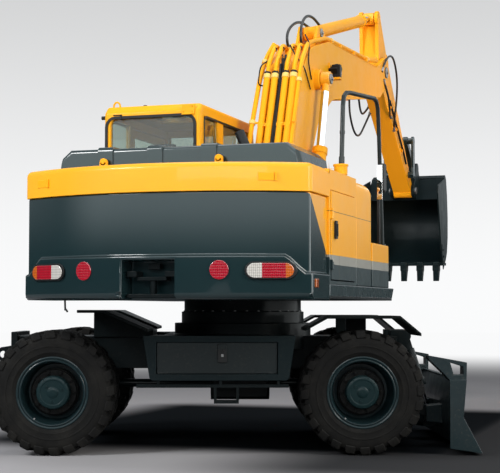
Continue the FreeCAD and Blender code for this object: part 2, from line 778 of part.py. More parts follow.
for side in (-1, 1):
    start, end = sorted((side * post_in, side * post_out), key=lambda z: z.number)
    posts.append(box(
        (s.fixed_axle_x - 90, start, s.beam_top - 60),
        (s.fixed_axle_x + 90, end, s.fender_top - s.fender_thick),
    ))
heel = box(
    (s.blade_pin_x - 150, -s.blade_arm_y - 85, s.blade_pin_z - 90),
    (s.blade_pin_x - 75, s.blade_arm_y + 85, s.beam_low + 40),
)
heel_lugs = []
for side in (-1, 1):
    for offset in (-1, 1):
        near = side * s.blade_arm_y + offset * (s.blade_arm_width / 2 + s.side_gap)
        low, high = sorted((near, near + offset * 36), key=lambda size: size.number)
        heel_lugs.append(plate("XZ", (
            (s.blade_pin_x - 80, s.blade_pin_z - 90),
            (s.blade_pin_x + 40, s.blade_pin_z - 70),
            (s.blade_pin_x + 60, s.blade_pin_z + 50),
            (s.blade_pin_x - 80, s.blade_pin_z + 160),
        ), low, high))
    for offset in (-1, 1):
        near = side * s.dozer_ram_y + offset * (s.dozer_bore + s.side_gap)
        low, high = sorted((near, near + offset * 28), key=lambda size: size.number)
        heel_lugs.append(plate("XZ", (
            (s.beam_rear - 60, s.dozer_ram_z - 200),
            (s.dozer_ram_x + 20, s.dozer_ram_z - 70),
            (s.dozer_ram_x + 60, s.dozer_ram_z + 55),
            (s.beam_rear - 60, s.dozer_ram_z + 55),
        ), low, high))
for side in (-1, 1):
    pin = (s.blade_pin_x, s.blade_pin_z)
    heel_lugs += washers(40, side * s.blade_arm_y, s.blade_arm_width / 2, s.side_gap, "Y", pin)
    pin = (s.dozer_ram_x, s.dozer_ram_z)
    heel_lugs += washers(32, side * s.dozer_ram_y, s.dozer_bore - 6, s.side_gap + 6, "Y", pin)
ties = []
tie_holes = []
tie_x = s.beam_front - 60 - s.tie_reach
for side in (-1, 1):
    low, high = side * s.tie_y - s.tie_thick / 2, side * s.tie_y + s.tie_thick / 2
    ties.append(plate("XZ", (
        (s.beam_front - 50, s.tie_z - 85),
        (tie_x - 20, s.tie_z - 62),
        (tie_x - 62, s.tie_z - 20),
        (tie_x - 62, s.tie_z + 30),
        (tie_x - 20, s.tie_z + 66),
        (s.beam_front - 50, s.tie_z + 85),
    ), low, high))
    tie_holes.append(cylinder(s.tie_bore, low - 5, high + 5, "Y", (tie_x, s.tie_z)))
chassis = fuse(beam, turret, cheek, tower, nose, *ties)
node(cut(chassis, *tie_holes), "chassis_beam", under)
beam_space = box((s.beam_front, -s.beam_half, s.beam_low), (s.beam_rear, s.beam_half, s.beam_top))
node(cut(fuse(heel, *heel_lugs), beam_space), "blade_mounts", under)
node(fuse(*arches, *posts), "fender_posts", under)

ring = cylinder(s.ring_radius, s.turret_top, s.ring_top, "Z", (0, 0))
node(ring, "slewing_ring", under)

transfer = box(
    (-280, -s.gearbox_half, s.gearbox_low),
    (230, s.gearbox_half, s.beam_low),
)
gear_end = cylinder(150, -300, 250, "X", (0, s.wheel_radius + 15))
level = s.wheel_radius + 20
shafts = cylinder(
    s.shaft_radius, s.steer_axle_x + s.diff_radius + s.seat_gap, s.fixed_axle_x - s.diff_radius - s.seat_gap,
    "X", (0, level),
)
node(fuse(transfer, gear_end, shafts), "transfer_box", under)

steps = []
for label, side in (("near", -1), ("far", 1)):
    face = side * s.box_face
    back = side * (s.box_face - s.box_depth)
    low, high = sorted((face, back), key=lambda size: size.number)
    shell = plate("XZ", (
        (s.box_left, s.box_top),
        (s.box_left + s.box_lean, s.box_low),
        (s.box_right - s.box_lean, s.box_low),
        (s.box_right, s.box_top),
    ), low, high, ((1, 40), (2, 40)))
    hole_face = side * (s.box_face + 5)
    hole_back = side * (s.box_face - s.box_depth + s.box_wall)
    start, end = sorted((hole_face, hole_back), key=lambda size: size.number)
    hollow = box(
        (s.box_left + s.box_rim_side, start, s.box_low + s.box_rim_low),
        (s.box_right - s.box_rim_side - 40, end, s.box_top - s.box_rim_low),
    )
    pads = []
    start, end = sorted(
        (side * (s.box_face - s.door_inset), side * (s.box_face - s.door_inset - s.door_thick)),
        key=lambda size: size.number,
    )
    for x in (s.box_left + s.box_rim_side + 120, s.box_right - s.box_rim_side - 220):
        pads.append(box(
            (x, start, s.box_low + s.box_rim_low - 5),
            (x + 60, end, s.box_low + s.box_rim_low + s.side_gap / 2 - s.seat_gap),
        ))
    node(fuse(cut(shell, hollow), *pads), f"tool_box_{label}", under)
    gap = s.side_gap / 2
    start, end = sorted(
        (side * (s.box_face - s.door_inset), side * (s.box_face - s.door_inset - s.door_thick)),
        key=lambda size: size.number,
    )
    door = box(
        (s.box_left + s.box_rim_side + gap, start, s.box_low + s.box_rim_low + gap),
        (s.box_right - s.box_rim_side - 40 - gap, end, s.box_top - s.box_rim_low - gap),
    )
    middle = (s.box_left + s.box_right) / 2
    out = side * (s.box_face - s.door_inset)
    start, end = sorted((out, out + side * 14), key=lambda size: size.number)
    lock = box((middle - 15, start, s.box_top - 190), (middle + 60, end, s.box_top - 70))
    hinge_z = s.box_low + s.box_rim_low + gap + 3
    knuckles = [
        cylinder(s.flap_pin, x, x + 50, "X", (out, hinge_z))
        for x in (s.box_left + s.box_rim_side + 20, s.box_right - s.box_rim_side - 110)
    ]
    node(fuse(door, lock, *knuckles), f"tool_box_door_{label}", under)

    outer = side * (s.box_face - 10)
    inner = side * (s.box_face - 50)
    start, end = sorted((outer, inner), key=lambda size: size.number)
    rail = box((s.box_left - 55, start, s.rail_low), (s.box_right - 60, end, s.rail_low + 28))
    hangers = [
        box((x, start, s.rail_low + 20), (x + s.bar_thick, end, s.box_low))
        for x in (s.box_left + 120, (s.box_left + s.box_right) / 2, s.box_right - 160)
    ]
    far = side * (s.box_face - 50 - s.step_depth + 50)
    first, last = sorted((outer, far), key=lambda size: size.number)
    tread = box((s.step_left, first, s.step_low), (s.step_right, last, s.step_low + s.bar_thick))
    legs = [
        box((x, start, s.step_low), (x + s.bar_thick, end, s.rail_low + 10))
        for x in (s.step_left, s.step_right - s.bar_thick)
    ]
    steps.append(fuse(rail, tread, *hangers, *legs))
node(together(*steps), "hanging_steps", under)

mudguards = []
guards = []
for side in (-1, 1):
    low, high = sorted((side * fender_inner, side * (s.box_face + 30)), key=lambda size: size.number)
    upper_edge = (
        (s.fixed_axle_x - 490, s.fender_top - 105),
        (s.fixed_axle_x - 300, s.fender_top),
        (s.fixed_axle_x + 325, s.fender_top),
        (s.fixed_axle_x + 505, s.fender_top - 150),
    )
    under_edge = [(x, z - s.fender_thick) for x, z in reversed(upper_edge)]
    mudguards.append(plate("XZ", (*upper_edge, *under_edge), low, high))
    low, high = sorted((side * s.guard_inner, side * s.box_face), key=lambda size: size.number)
    upper_edge = (
        (s.steer_axle_x + 200, s.guard_top),
        (s.steer_axle_x + 430, s.guard_top),
        (s.box_left + 40, s.box_top + 60),
    )
    under_edge = [(x, z - s.fender_thick) for x, z in reversed(upper_edge)]
    guards.append(plate("XZ", (*upper_edge, *under_edge), low, high))
node(together(*mudguards, *guards), "fenders", under)


# ---------------------------------------------------------------- dozer blade

face_line = (
    (s.blade_waist + 20, s.blade_top),
    (s.blade_waist - 30, s.blade_top - 200),
    (s.blade_waist - 30, s.blade_low + 260),
    (s.blade_waist + 40, s.blade_low + 90),
    (s.blade_toe, s.blade_low),
)
back_line = (
    (s.blade_toe - 30, s.blade_low),
    (s.blade_waist - 10, s.blade_low + 40),
    (s.blade_waist - 30 - s.blade_plate, s.blade_low + 240),
    (s.blade_waist - 30 - s.blade_plate, s.blade_top - 200),
    (s.blade_waist + 20 - s.blade_plate, s.blade_top),
)
reach = s.overall_width / 2
board = plate("XZ", (*face_line, *back_line), -reach, reach)
end_outline = (
    (s.blade_back, s.blade_top),
    (s.blade_waist + 29, s.blade_top),
    (s.blade_waist, s.blade_top - 320),
    (s.blade_toe + 3, s.blade_low),
    (s.blade_back, s.blade_low + 40),
)
ends = [
    plate("XZ", end_outline, -reach, -reach + s.end_plate),
    plate("XZ", end_outline, reach - s.end_plate, reach),
]
arm_lugs = []
rod_lugs = []
for side in (-1, 1):
    for offset in (-1, 1):
        middle = side * s.blade_arm_y
        near = middle + offset * (s.blade_arm_width / 2 + s.side_gap)
        far = near + offset * 30
        low, high = sorted((near, far), key=lambda size: size.number)
        arm_lugs.append(plate("XZ", (
            (s.blade_lug_x - 70, s.blade_lug_z - 70),
            (s.blade_waist - 40, s.blade_lug_z - 90),
            (s.blade_waist - 40, s.blade_lug_z + 90),
            (s.blade_lug_x - 70, s.blade_lug_z + 70),
        ), low, high))
    middle = side * s.dozer_ram_y
    for offset in (-1, 1):
        near = middle + offset * (s.dozer_bore - 12 + s.side_gap)
        far = near + offset * 24
        low, high = sorted((near, far), key=lambda size: size.number)
        rod_lugs.append(plate("XZ", (
            (s.dozer_rod_x - 55, s.dozer_rod_z - 55),
            (s.blade_waist - 40, s.dozer_rod_z - 60),
            (s.blade_waist - 40, s.dozer_rod_z + 75),
            (s.dozer_rod_x - 55, s.dozer_rod_z + 55),
        ), low, high))
for side in (-1, 1):
    pin = (s.blade_lug_x, s.blade_lug_z)
    arm_lugs += washers(36, side * s.blade_arm_y, s.blade_arm_width / 2, s.side_gap, "Y", pin)
    pin = (s.dozer_rod_x, s.dozer_rod_z)
    rod_lugs += washers(28, side * s.dozer_ram_y, s.dozer_bore - 12, s.side_gap, "Y", pin)
lamp_arms = []
for side in (-1, 1):
    low, high = sorted((side * (reach - 30), side * (reach - 210)), key=lambda size: size.number)
    arm = plate("XZ", (
        (s.blade_back + 10, s.blade_top - 12),
        (s.blade_waist + 32, s.blade_top - 12),
        (s.blade_waist + 37, s.lamp_arm_top - 60),
        (s.lamp_arm_x, s.lamp_arm_top),
        (s.lamp_arm_x, s.lamp_arm_top - 30),
        (s.blade_back - 40, s.lamp_arm_low + 30),
    ), low, high)
    first, last = sorted((side * (reach - 50), side * (reach - 190)), key=lambda size: size.number)
    window = plate("XZ", (
        (s.blade_back + 40, s.blade_top + 40),
        (s.blade_waist + 5, s.blade_top + 40),
        (s.blade_waist + 5, s.lamp_arm_top - 95),
        (s.blade_back + 10, s.lamp_arm_top - 60),
    ), low - 5, high + 5)
    lamp_arms.append(cut(arm, window))
node(fuse(board, *ends, *arm_lugs, *rod_lugs, *lamp_arms), "dozer_blade", under)

blade_run = s.blade_lug_x - s.blade_pin_x
blade_drop = s.blade_pin_z - s.blade_lug_z
arms = []
for side in (-1, 1):
    middle = side * s.blade_arm_y
    low, high = middle - s.blade_arm_width / 2, middle + s.blade_arm_width / 2
    arms.append(fuse(
        plate("XZ", (
            (s.blade_pin_x, s.blade_pin_z - 62),
            (s.blade_lug_x, s.blade_lug_z - 52),
            (s.blade_lug_x, s.blade_lug_z + 52),
            (s.blade_pin_x, s.blade_pin_z + 62),
        ), low, high),
        cylinder(64, low, high, "Y", (s.blade_pin_x, s.blade_pin_z)),
        cylinder(54, low, high, "Y", (s.blade_lug_x, s.blade_lug_z)),
    ))
tie = cylinder(45, -s.blade_arm_y, s.blade_arm_y, "Y", (
    (s.blade_pin_x + s.blade_lug_x) / 2 - 60,
    (s.blade_pin_z + s.blade_lug_z) / 2 + 15,
))
node(fuse(*arms, tie), "blade_arms", under)


# ---------------------------------------------------------------- hydraulic cylinders

def barrel(length, bore, rod, half_eye):
    """A cylinder barrel along +Y from its base pin, with its base eye, neck and gland."""
    eye = fuse(
        cylinder(bore + 4, -half_eye, half_eye, "X", (0, 0)),
        box((-half_eye, 0, -bore * 0.7), (half_eye, s.barrel_neck + 10, bore * 0.7)),
    )
    tube = cylinder(bore, s.barrel_neck, length, "Y", (0, 0))
    gland = cylinder(bore + 9, length - 70, length, "Y", (0, 0))
    hole = cylinder(rod + 1, s.barrel_neck + 20, length + 10, "Y", (0, 0))
    return cut(fuse(eye, tube, gland), hole)


def rod_and_eye(start, reach, rod, eye, half_eye):
    """A rod along +Y with its eye at the far pin."""
    shaft = cylinder(rod, start, reach - eye / 2, "Y", (0, 0))
    end = cylinder(eye, -half_eye, half_eye, "X", (reach, 0))
    return fuse(shaft, end)


def pin_line(start, end):
    """Length and angle above level of the line from one pin to the other."""
    run, rise = end[0] - start[0], end[1] - start[1]
    return root(run * run + rise * rise), bearing(run, rise)


def lying(pin, angle, offset):
    """Sets a cylinder drawn along +Y at a pin, in the boom's middle plane moved by an offset."""
    def frame(piece):
        settle(piece, (s.slew_x + s.boom_x + offset, pin[0], pin[1]), (1, 0, 0), angle)
    return frame


# the blade's pair is drawn in the undercarriage's own frame
dozer_top = (s.dozer_ram_x, s.dozer_ram_z)
dozer_end = (s.dozer_rod_x, s.dozer_rod_z)
dozer_reach, dozer_lean = pin_line(dozer_top, dozer_end)
dozer_barrels = []
dozer_rods = []
for side in (-1, 1):
    at = (s.dozer_ram_x, side * s.dozer_ram_y, s.dozer_ram_z)
    for group, piece in (
        (dozer_barrels, barrel(s.dozer_barrel, s.dozer_bore, s.dozer_rod, s.dozer_bore - 6)),
        (dozer_rods, rod_and_eye(s.dozer_start, dozer_reach, s.dozer_rod, as_size(42), s.dozer_bore - 12)),
    ):
        upright = together(piece)
        settle(upright, (0, 0, 0), (0, 0, 1), -90)
        leaned = together(upright)
        settle(leaned, at, (0, 1, 0), -dozer_lean)
        group.append(leaned)
node(together(*dozer_barrels), "blade_cylinder_barrels", under)
node(together(*dozer_rods), "blade_cylinder_rods", under)


# ---------------------------------------------------------------- boom

def rounded_end(radius, low, high, centre):
    return cylinder(radius, low, high, "X", centre)


arm_lug_y = s.boom_length - s.arm_lug_back
boom_outline = (
    (-70, -120),
    (150, -130),
    (s.rod_pin_y - 120, s.rod_pin_z - 420),
    (s.rod_pin_y + 560, s.rod_pin_z - 430),
    (s.boom_length - s.nose_depth, -165),
    (s.boom_length - s.nose_depth, 235),
    (arm_lug_y + 40, s.arm_lug_z - 115),
    (s.rod_pin_y + 20, s.rod_pin_z + 355),
    (s.rod_pin_y - 420, s.rod_pin_z + 260),
    (-130, 60),
)
boom_body = plate(
    "YZ", boom_outline, -s.boom_half, s.boom_half,
    ((2, 500), (3, 420), (7, 480), (8, 500)),
)
foot = rounded_end(s.foot_boss, -s.boom_half - 30, s.boom_half + 30, (0, 0))
cheeks = []
for side in (-1, 1):
    near, far = side * (s.arm_half + s.side_gap), side * s.boom_half
    low, high = sorted((near, far), key=lambda size: size.number)
    cheeks.append(plate("YZ", (
        (s.boom_length - s.nose_depth - 30, -165),
        (s.boom_length + 60, -s.nose_boss + 10),
        (s.boom_length + 60, s.nose_boss - 10),
        (s.boom_length - s.nose_depth - 30, 235),
    ), low, high))
    cheeks.append(rounded_end(s.nose_boss, low, high, (s.boom_length, 0)))
    near, far = side * (s.boom_half - 20), side * (s.boom_ram_offset - s.rod_eye_half - s.side_gap)
    low, high = sorted((near, far), key=lambda size: size.number)
    cheeks.append(rounded_end(105, low, high, (s.rod_pin_y, s.rod_pin_z)))
lugs = []
for side in (-1, 1):
    near = side * (s.arm_bore + s.side_gap)
    low, high = sorted((near, near + side * s.lug_thick), key=lambda size: size.number)
    lugs.append(plate("YZ", (
        (arm_lug_y - 330, s.arm_lug_z - 60),
        (arm_lug_y + 260, s.arm_lug_z - 260),
        (arm_lug_y + 95, s.arm_lug_z + 40),
        (arm_lug_y - 60, s.arm_lug_z + 105),
    ), low, high))
cheeks += washers(70, 0, s.arm_half, s.side_gap, "X", (s.boom_length, 0))
lugs += washers(45, 0, s.arm_bore - 6, s.side_gap + 6, "X", (arm_lug_y, s.arm_lug_z))
for side in (-1, 1):
    near = side * (s.boom_ram_offset - s.rod_eye_half - s.side_gap - 4)
    far = side * (s.boom_ram_offset - s.rod_eye_half - s.seat_gap)
    low, high = sorted((near, far), key=lambda size: size.number)
    lugs.append(cylinder(50, low, high, "X", (s.rod_pin_y, s.rod_pin_z)))
node(fuse(boom_body, foot, *cheeks, *lugs), "boom", on_boom)


# hydraulic pipes clamped along the back of the boom: two pairs and one on the left
def bar_line(points, radius):
    """A bent tube through points of one upright plane along Y."""
    made = [rod_between(start, end, radius) for start, end in zip(points, points[1:])]
    made += [ball(radius, corner) for corner in points[1:-1]]
    return made


back_run = s.rod_pin_y - 420 + 130
back_rise = s.rod_pin_z + 260 - 60
back_length = root(back_run * back_run + back_rise * back_rise)
lift = s.pipe_standoff + s.line_radius
out_y = -lift * back_rise / back_length
out_z = lift * back_run / back_length


def on_back(x, share, more=0):
    """A point over the boom's back, a share of the way from its foot to its bend."""
    return (
        x,
        as_size(-130) + back_run * share + out_y * (1 + as_size(more) / lift),
        as_size(60) + back_rise * share + out_z * (1 + as_size(more) / lift),
    )


pipes = []
for x in (-158, -76, 36, 118):
    pipes += bar_line((on_back(x, 0.14), on_back(x, 0.93)), s.line_radius)
pipes += bar_line((
    on_back(-s.boom_half - 60, 0.28), on_back(-s.boom_half - 60, 0.84), on_back(-s.boom_half + 40, 1.02, 60),
), s.line_radius)
seated = 1 - s.seat_gap / lift
for share in (0.30, 0.52, 0.74):
    low, high = on_back(0, share), on_back(0, share + 0.02)
    pipes.append(plate("YZ", (
        (low[1] - out_y * seated, low[2] - out_z * seated),
        (low[1], low[2]),
        (high[1], high[2]),
        (high[1] - out_y * seated, high[2] - out_z * seated),
    ), -s.boom_half - 75, s.boom_half - 30))
node(fuse(*pipes), "boom_pipes", on_boom)


# ---------------------------------------------------------------- arm

arm_outline = (
    (-60, -s.arm_boss + 20),
    (s.arm_length - 60, -s.tip_boss + 20),
    (s.arm_length - 60, s.tip_boss - 10),
    (s.dipper_lug_y + 330, 320),
    (s.dipper_lug_y - 180, 420),
    (s.tail_y + 60, s.tail_z + 60),
    (s.tail_y - 20, s.tail_z - 60),
    (-s.arm_boss + 5, -20),
)
arm_body = plate("YZ", arm_outline, -s.arm_half, s.arm_half)
slot = plate("YZ", (
    (s.tail_y - 260, s.tail_z + 260),
    (s.tail_y + 100, s.tail_z + 260),
    (s.tail_y + 100, s.tail_z - 70),
    (-s.arm_boss - 5, -20),
    (-s.arm_boss - 5, -160),
    (s.tail_y - 260, -160),
), -s.arm_bore - s.side_gap, s.arm_bore + s.side_gap)
arm_pieces = [
    cut(arm_body, slot),
    rounded_end(s.arm_boss, -s.arm_half, s.arm_half, (0, 0)),
    rounded_end(s.tip_boss, -s.arm_half, s.arm_half, (s.arm_length, 0)),
]
for side in (-1, 1):
    near, far = side * (s.arm_bore + s.side_gap), side * s.arm_half
    low, high = sorted((near, far), key=lambda size: size.number)
    arm_pieces.append(rounded_end(92, low, high, (s.tail_y, s.tail_z)))
    near = side * (s.dipper_bore + s.side_gap)
    low, high = sorted((near, near + side * 30), key=lambda size: size.number)
    arm_pieces.append(plate("YZ", (
        (s.dipper_lug_y - 210, 380),
        (s.dipper_lug_y + 210, 300),
        (s.dipper_lug_y + 70, s.dipper_lug_z + 45),
        (s.dipper_lug_y - 60, s.dipper_lug_z + 70),
    ), low, high))
arm_pieces += washers(45, 0, s.arm_bore - 6, s.side_gap + 6, "X", (s.tail_y, s.tail_z))
arm_pieces += washers(40, 0, s.dipper_bore - 6, s.side_gap + 6, "X", (s.dipper_lug_y, s.dipper_lug_z))
node(fuse(*arm_pieces), "arm", on_arm)


# ---------------------------------------------------------------- cylinders of the boom, arm and bucket

ram_foot = (s.slew_y + s.ram_pin_y, s.ram_pin_z)
rod_pin = along(boom_foot, s.boom_angle, s.rod_pin_y, s.rod_pin_z)[1:]
boom_reach, boom_lean = pin_line(ram_foot, rod_pin)
for piece, label in (
    (lambda: barrel(s.boom_barrel, s.boom_bore, s.boom_rod, s.rod_eye_half), "boom_cylinder_barrels"),
    (
        lambda: rod_and_eye(s.boom_start, boom_reach, s.boom_rod, s.rod_eye, s.rod_eye_half),
        "boom_cylinder_rods",
    ),
):
    pair = []
    for side in (-1, 1):
        one = together(piece())
        settle(one, (side * s.boom_ram_offset, 0, 0))
        pair.append(one)
    node(together(*pair), label, lying(ram_foot, boom_lean, 0))

arm_lug = along(boom_foot, s.boom_angle, arm_lug_y, s.arm_lug_z)[1:]
arm_tail = along(arm_pin, s.arm_angle, s.tail_y, s.tail_z)[1:]
arm_reach, arm_lean = pin_line(arm_lug, arm_tail)
node(together(barrel(s.arm_barrel, s.arm_bore, s.arm_rod, s.arm_bore - 6)), "arm_cylinder_barrel",
     lying(arm_lug, arm_lean, 0))
node(rod_and_eye(s.arm_start, arm_reach, s.arm_rod, as_size(75), as_size(66)), "arm_cylinder_rod",
     lying(arm_lug, arm_lean, 0))

dipper_lug = along(arm_pin, s.arm_angle, s.dipper_lug_y, s.dipper_lug_z)[1:]
idler_pin = along(arm_pin, s.arm_angle, (s.arm_length - s.idler_back), s.idler_z)[1:]
link_top = (
    idler_pin[0] + s.idler_length * cosine(s.idler_angle),
    idler_pin[1] + s.idler_length * sine(s.idler_angle),
)
dipper_reach, dipper_lean = pin_line(dipper_lug, link_top)
node(together(barrel(s.dipper_barrel, s.dipper_bore, s.dipper_rod, s.dipper_bore - 6)),
     "bucket_cylinder_barrel", lying(dipper_lug, dipper_lean, 0))
node(rod_and_eye(s.dipper_start, dipper_reach, s.dipper_rod, as_size(60), as_size(50)),
     "bucket_cylinder_rod", lying(dipper_lug, dipper_lean, 0))


# ---------------------------------------------------------------- bucket and its linkage

idlers = []
for side in (-1, 1):
    near = side * (s.arm_half + s.side_gap + s.ear_thick + s.side_gap)
    far = near + side * s.idler_thick
    low, high = sorted((near, far), key=lambda size: size.number)
    bar = plate("YZ", (
        (0, -s.idler_radius + 12),
        (s.idler_length, -s.idler_radius + 12),
        (s.idler_length, s.idler_radius - 12),
        (0, s.idler_radius - 12),
    ), low, high)
    ends = [rounded_end(s.idler_radius, low, high, (station, 0)) for station in (0, s.idler_length)]
    spacers = []
    for station in (0, s.idler_length):
        inner, outer = sorted((side * (s.arm_half + s.seat_gap), far), key=lambda size: size.number)
        spacers.append(rounded_end(42, inner, outer, (station, 0)))
    idlers.append(fuse(bar, *ends, *spacers))
node(together(*idlers), "idler_links", lying(idler_pin, s.idler_angle, 0))

ear_pin = (bucket_pin[1] + s.link_pin_y, bucket_pin[2] + s.link_pin_z)
link_reach, link_lean = pin_line(link_top, ear_pin)
link_half = s.arm_half
straps = []
for side in (-1, 1):
    low, high = sorted((side * 60, side * link_half), key=lambda size: as_size(size).number)
    straps.append(plate("YZ", (
        (0, -s.idler_radius + 14),
        (link_reach, -s.idler_radius + 14),
        (link_reach, s.idler_radius - 14),
        (0, s.idler_radius - 14),
    ), low, high))
    for station in (0, link_reach):
        straps.append(rounded_end(s.idler_radius, low, high, (station, 0)))
brace = box((-link_half, link_reach * 0.55, -30), (link_half, link_reach - 70, 30))
boss = rounded_end(s.idler_radius - 4, -link_half, link_half, (link_reach, 0))
straps += washers(36, 0, as_size(50), s.side_gap + 4, "X", (0, 0))
node(fuse(*straps, brace, boss), "bucket_link", lying(link_top, link_lean, 0))

# bucket, drawn about its pin: +Y away from the cab, the mouth towards the cab
side_outline = (
    (-320, -60),
    (-290, 40),
    (300, 190),
    (430, 250),
    (560, 200),
    (685, -20),
    (755, -330),
    (735, -640),
    (610, -860),
    (400, -985),
    (200, -1030),
    (20, -1030),
    (-85, -840),
)
hinge_plate = ((90, -100), (330, 182))
wall = s.bucket_wall
inner_line = (
    (100, -100 - wall),
    (345, 177 - wall),
    (432, 248 - wall),
    (560 - wall * 0.7, 200 - wall * 0.8),
    (685 - wall, -20 - wall * 0.4),
    (755 - wall, -332),
    (735 - wall, -632),
    (610 - wall * 0.6, -860 + wall * 0.8),
    (400 - wall * 0.4, -985 + wall),
    (200, -1030 + wall),
)


def narrowing(half):
    """What the bucket's sides lose towards its back."""
    back = half - s.bucket_taper
    return [
        plate("XY", ((side * half, 0), (side * back, 800), (side * half * 1.5, 800), (side * half * 1.5, 0)),
              -1400, 600)
        for side in (-1, 1)
    ]


hollow_half = s.bucket_half - wall
outer_form = cut(plate("YZ", side_outline, -s.bucket_half, s.bucket_half), *narrowing(s.bucket_half))
inside = plate("YZ", (
    (-450, -100 - wall), *inner_line, (-450, -1030 + wall),
), -hollow_half, hollow_half)
inside = cut(inside, *narrowing(hollow_half))
notch = plate("YZ", (
    (-450, -102 - wall), (60, -102 - wall), *hinge_plate, (330, 420), (-450, 420),
), -hollow_half, hollow_half)
ears = []
for side in (-1, 1):
    near = side * (s.arm_half + s.side_gap)
    low, high = sorted((near, near + side * s.ear_thick), key=lambda size: size.number)
    ears.append(plate("YZ", (
        (-s.ear_radius + 10, -30),
        (50, -100),
        (105, -112),
        (345, 178),
        (s.link_pin_y + 72, s.link_pin_z - 20),
        (s.link_pin_y - 70, s.link_pin_z + 26),
        (-s.ear_radius + 6, 30),
    ), low, high))
    ears.append(rounded_end(s.ear_radius, low, high, (0, 0)))
    ears.append(rounded_end(75, low, high, (s.link_pin_y, s.link_pin_z)))
ears += washers(55, 0, s.arm_half, s.side_gap, "X", (0, 0))
ears += washers(45, 0, s.arm_half, s.side_gap, "X", (s.link_pin_y, s.link_pin_z))
lip = plate("YZ", ((-20, -1048), (260, -1048), (260, -1008), (30, -1008)), -s.bucket_half, s.bucket_half)
teeth = []
for number in range(int(s.tooth_count.number)):
    share = number / (s.tooth_count.number - 1) * 2 - 1
    middle = share * s.tooth_reach
    teeth.append(plate("YZ", (
        (75, -1003),
        (-20, -1050),
        (8, -1040 - s.tooth_length),
        (48, -1040 - s.tooth_length),
        (150, -1052),
    ), middle - s.tooth_width / 2, middle + s.tooth_width / 2))
node(fuse(cut(outer_form, inside, notch), *ears, lip, *teeth), "bucket", on_bucket)


# ---------------------------------------------------------------- platform

deck_left = box(
    (-s.deck_half, s.weight_front, s.deck_low),
    (s.cab_right + 40, s.deck_front, s.deck_top),
)
deck_middle = box((s.cab_right, s.weight_front, s.deck_low), (s.flank_inner, s.ram_pin_y + 180, s.deck_top))
deck_right = box(
    (s.flank_inner - 40, s.weight_front, s.deck_low),
    (s.deck_half, s.skirt_front - 20, s.deck_top),
)
turntable = cylinder(s.ring_radius - 25, s.ring_top + s.seat_gap, s.deck_low + 10, "Z", (0, 0))
platform = [deck_left, deck_middle, deck_right, turntable]
for side in (-1, 1):
    near = s.boom_x + side * (s.boom_half + 30 + s.side_gap)
    low, high = sorted((near, near + side * s.bracket_thick), key=lambda size: size.number)
    platform.append(plate("YZ", (
        (s.boom_foot_y - 420, s.deck_top - 10),
        (s.ram_pin_y + 60, s.deck_top - 10),
        (s.boom_foot_y + 175, s.boom_foot_z + 20),
        (s.boom_foot_y + 60, s.boom_foot_z + 150),
        (s.boom_foot_y - 110, s.boom_foot_z + 130),
    ), low, high))
    for edge in (-1, 1):
        near = s.boom_x + side * s.boom_ram_offset + edge * (s.rod_eye_half + s.side_gap)
        low, high = sorted((near, near + edge * 28), key=lambda size: size.number)
        platform.append(plate("YZ", (
            (s.ram_pin_y - 170, s.deck_top - 10),
            (s.ram_pin_y + 95, s.deck_top - 10),
            (s.ram_pin_y + 68, s.ram_pin_z + 20),
            (s.ram_pin_y - 20, s.ram_pin_z + 68),
            (s.ram_pin_y - 70, s.ram_pin_z + 30),
        ), low, high))
platform += [
    cylinder(s.cab_mount, s.deck_top - 5, s.cab_floor - s.seat_gap, "Z", (x, y))
    for x in (s.cab_left + 160, s.cab_right - 160)
    for y in (s.cab_rear + 160, s.cab_front - 250)
]
platform += washers(75, s.boom_x, s.boom_half + 30, s.side_gap, "X", (s.boom_foot_y, s.boom_foot_z))
for side in (-1, 1):
    middle = s.boom_x + side * s.boom_ram_offset
    platform += washers(50, middle, s.rod_eye_half, s.side_gap, "X", (s.ram_pin_y, s.ram_pin_z))
node(fuse(*platform), "platform", upper)

skirts = []
for side, front in ((-1, s.deck_front), (1, s.skirt_front)):
    low, high = sorted((side * (s.deck_half + s.seat_gap), side * s.body_half), key=lambda size: size.number)
    skirts.append(plate("YZ", (
        (s.weight_front + s.seat_gap, s.deck_low + 20),
        (front - 80, s.deck_low + 20),
        (front, s.deck_low + 110),
        (front, s.flank_low - s.seat_gap),
        (s.weight_front + s.seat_gap, s.flank_low - s.seat_gap),
    ), low, high))
node(together(*skirts), "side_skirts", upper)


# ---------------------------------------------------------------- counterweight

def tail_block(radius, half, low, high):
    """A block with the tail swing's round back, between two heights."""
    slab = box((-half, -s.tail_radius - 50, low), (half, s.weight_front, high))
    swing = cylinder(radius, low, high, "Z", (0, 0))
    return common(slab, swing)


lower_weight = tail_block(s.tail_radius, s.body_half, s.weight_low, s.weight_step)
lower_weight = soften(lower_weight, s.weight_edge, lambda edge: all(
    abs(v.Z - s.weight_low.number) < 1 and v.Y < -1600 for v in edge.Vertexes
))
corners = [
    plate("XZ", (
        (side * (s.body_half - 205), s.weight_step + 5),
        (side * (s.body_half - 160), s.weight_step - 25),
        (side * (s.body_half - 95), s.weight_corner + 40),
        (side * (s.body_half - 50), s.weight_corner),
        (side * (s.body_half + 30), s.weight_corner),
        (side * (s.body_half + 30), s.weight_step + 5),
    ), -s.tail_radius, s.weight_front + 5)
    for side in (-1, 1)
]
lower_weight = cut(lower_weight, *corners)
upper_weight = tail_block(
    s.tail_radius - s.tail_step, s.body_half - s.tail_step, s.weight_corner - 10, s.weight_top,
)
recess = box(
    (-s.recess_half, -s.tail_radius - 60, s.weight_low - 10),
    (s.recess_half, -s.tail_radius + s.recess_depth, s.recess_top),
)
node(cut(fuse(lower_weight, upper_weight), recess), "counterweight", upper)

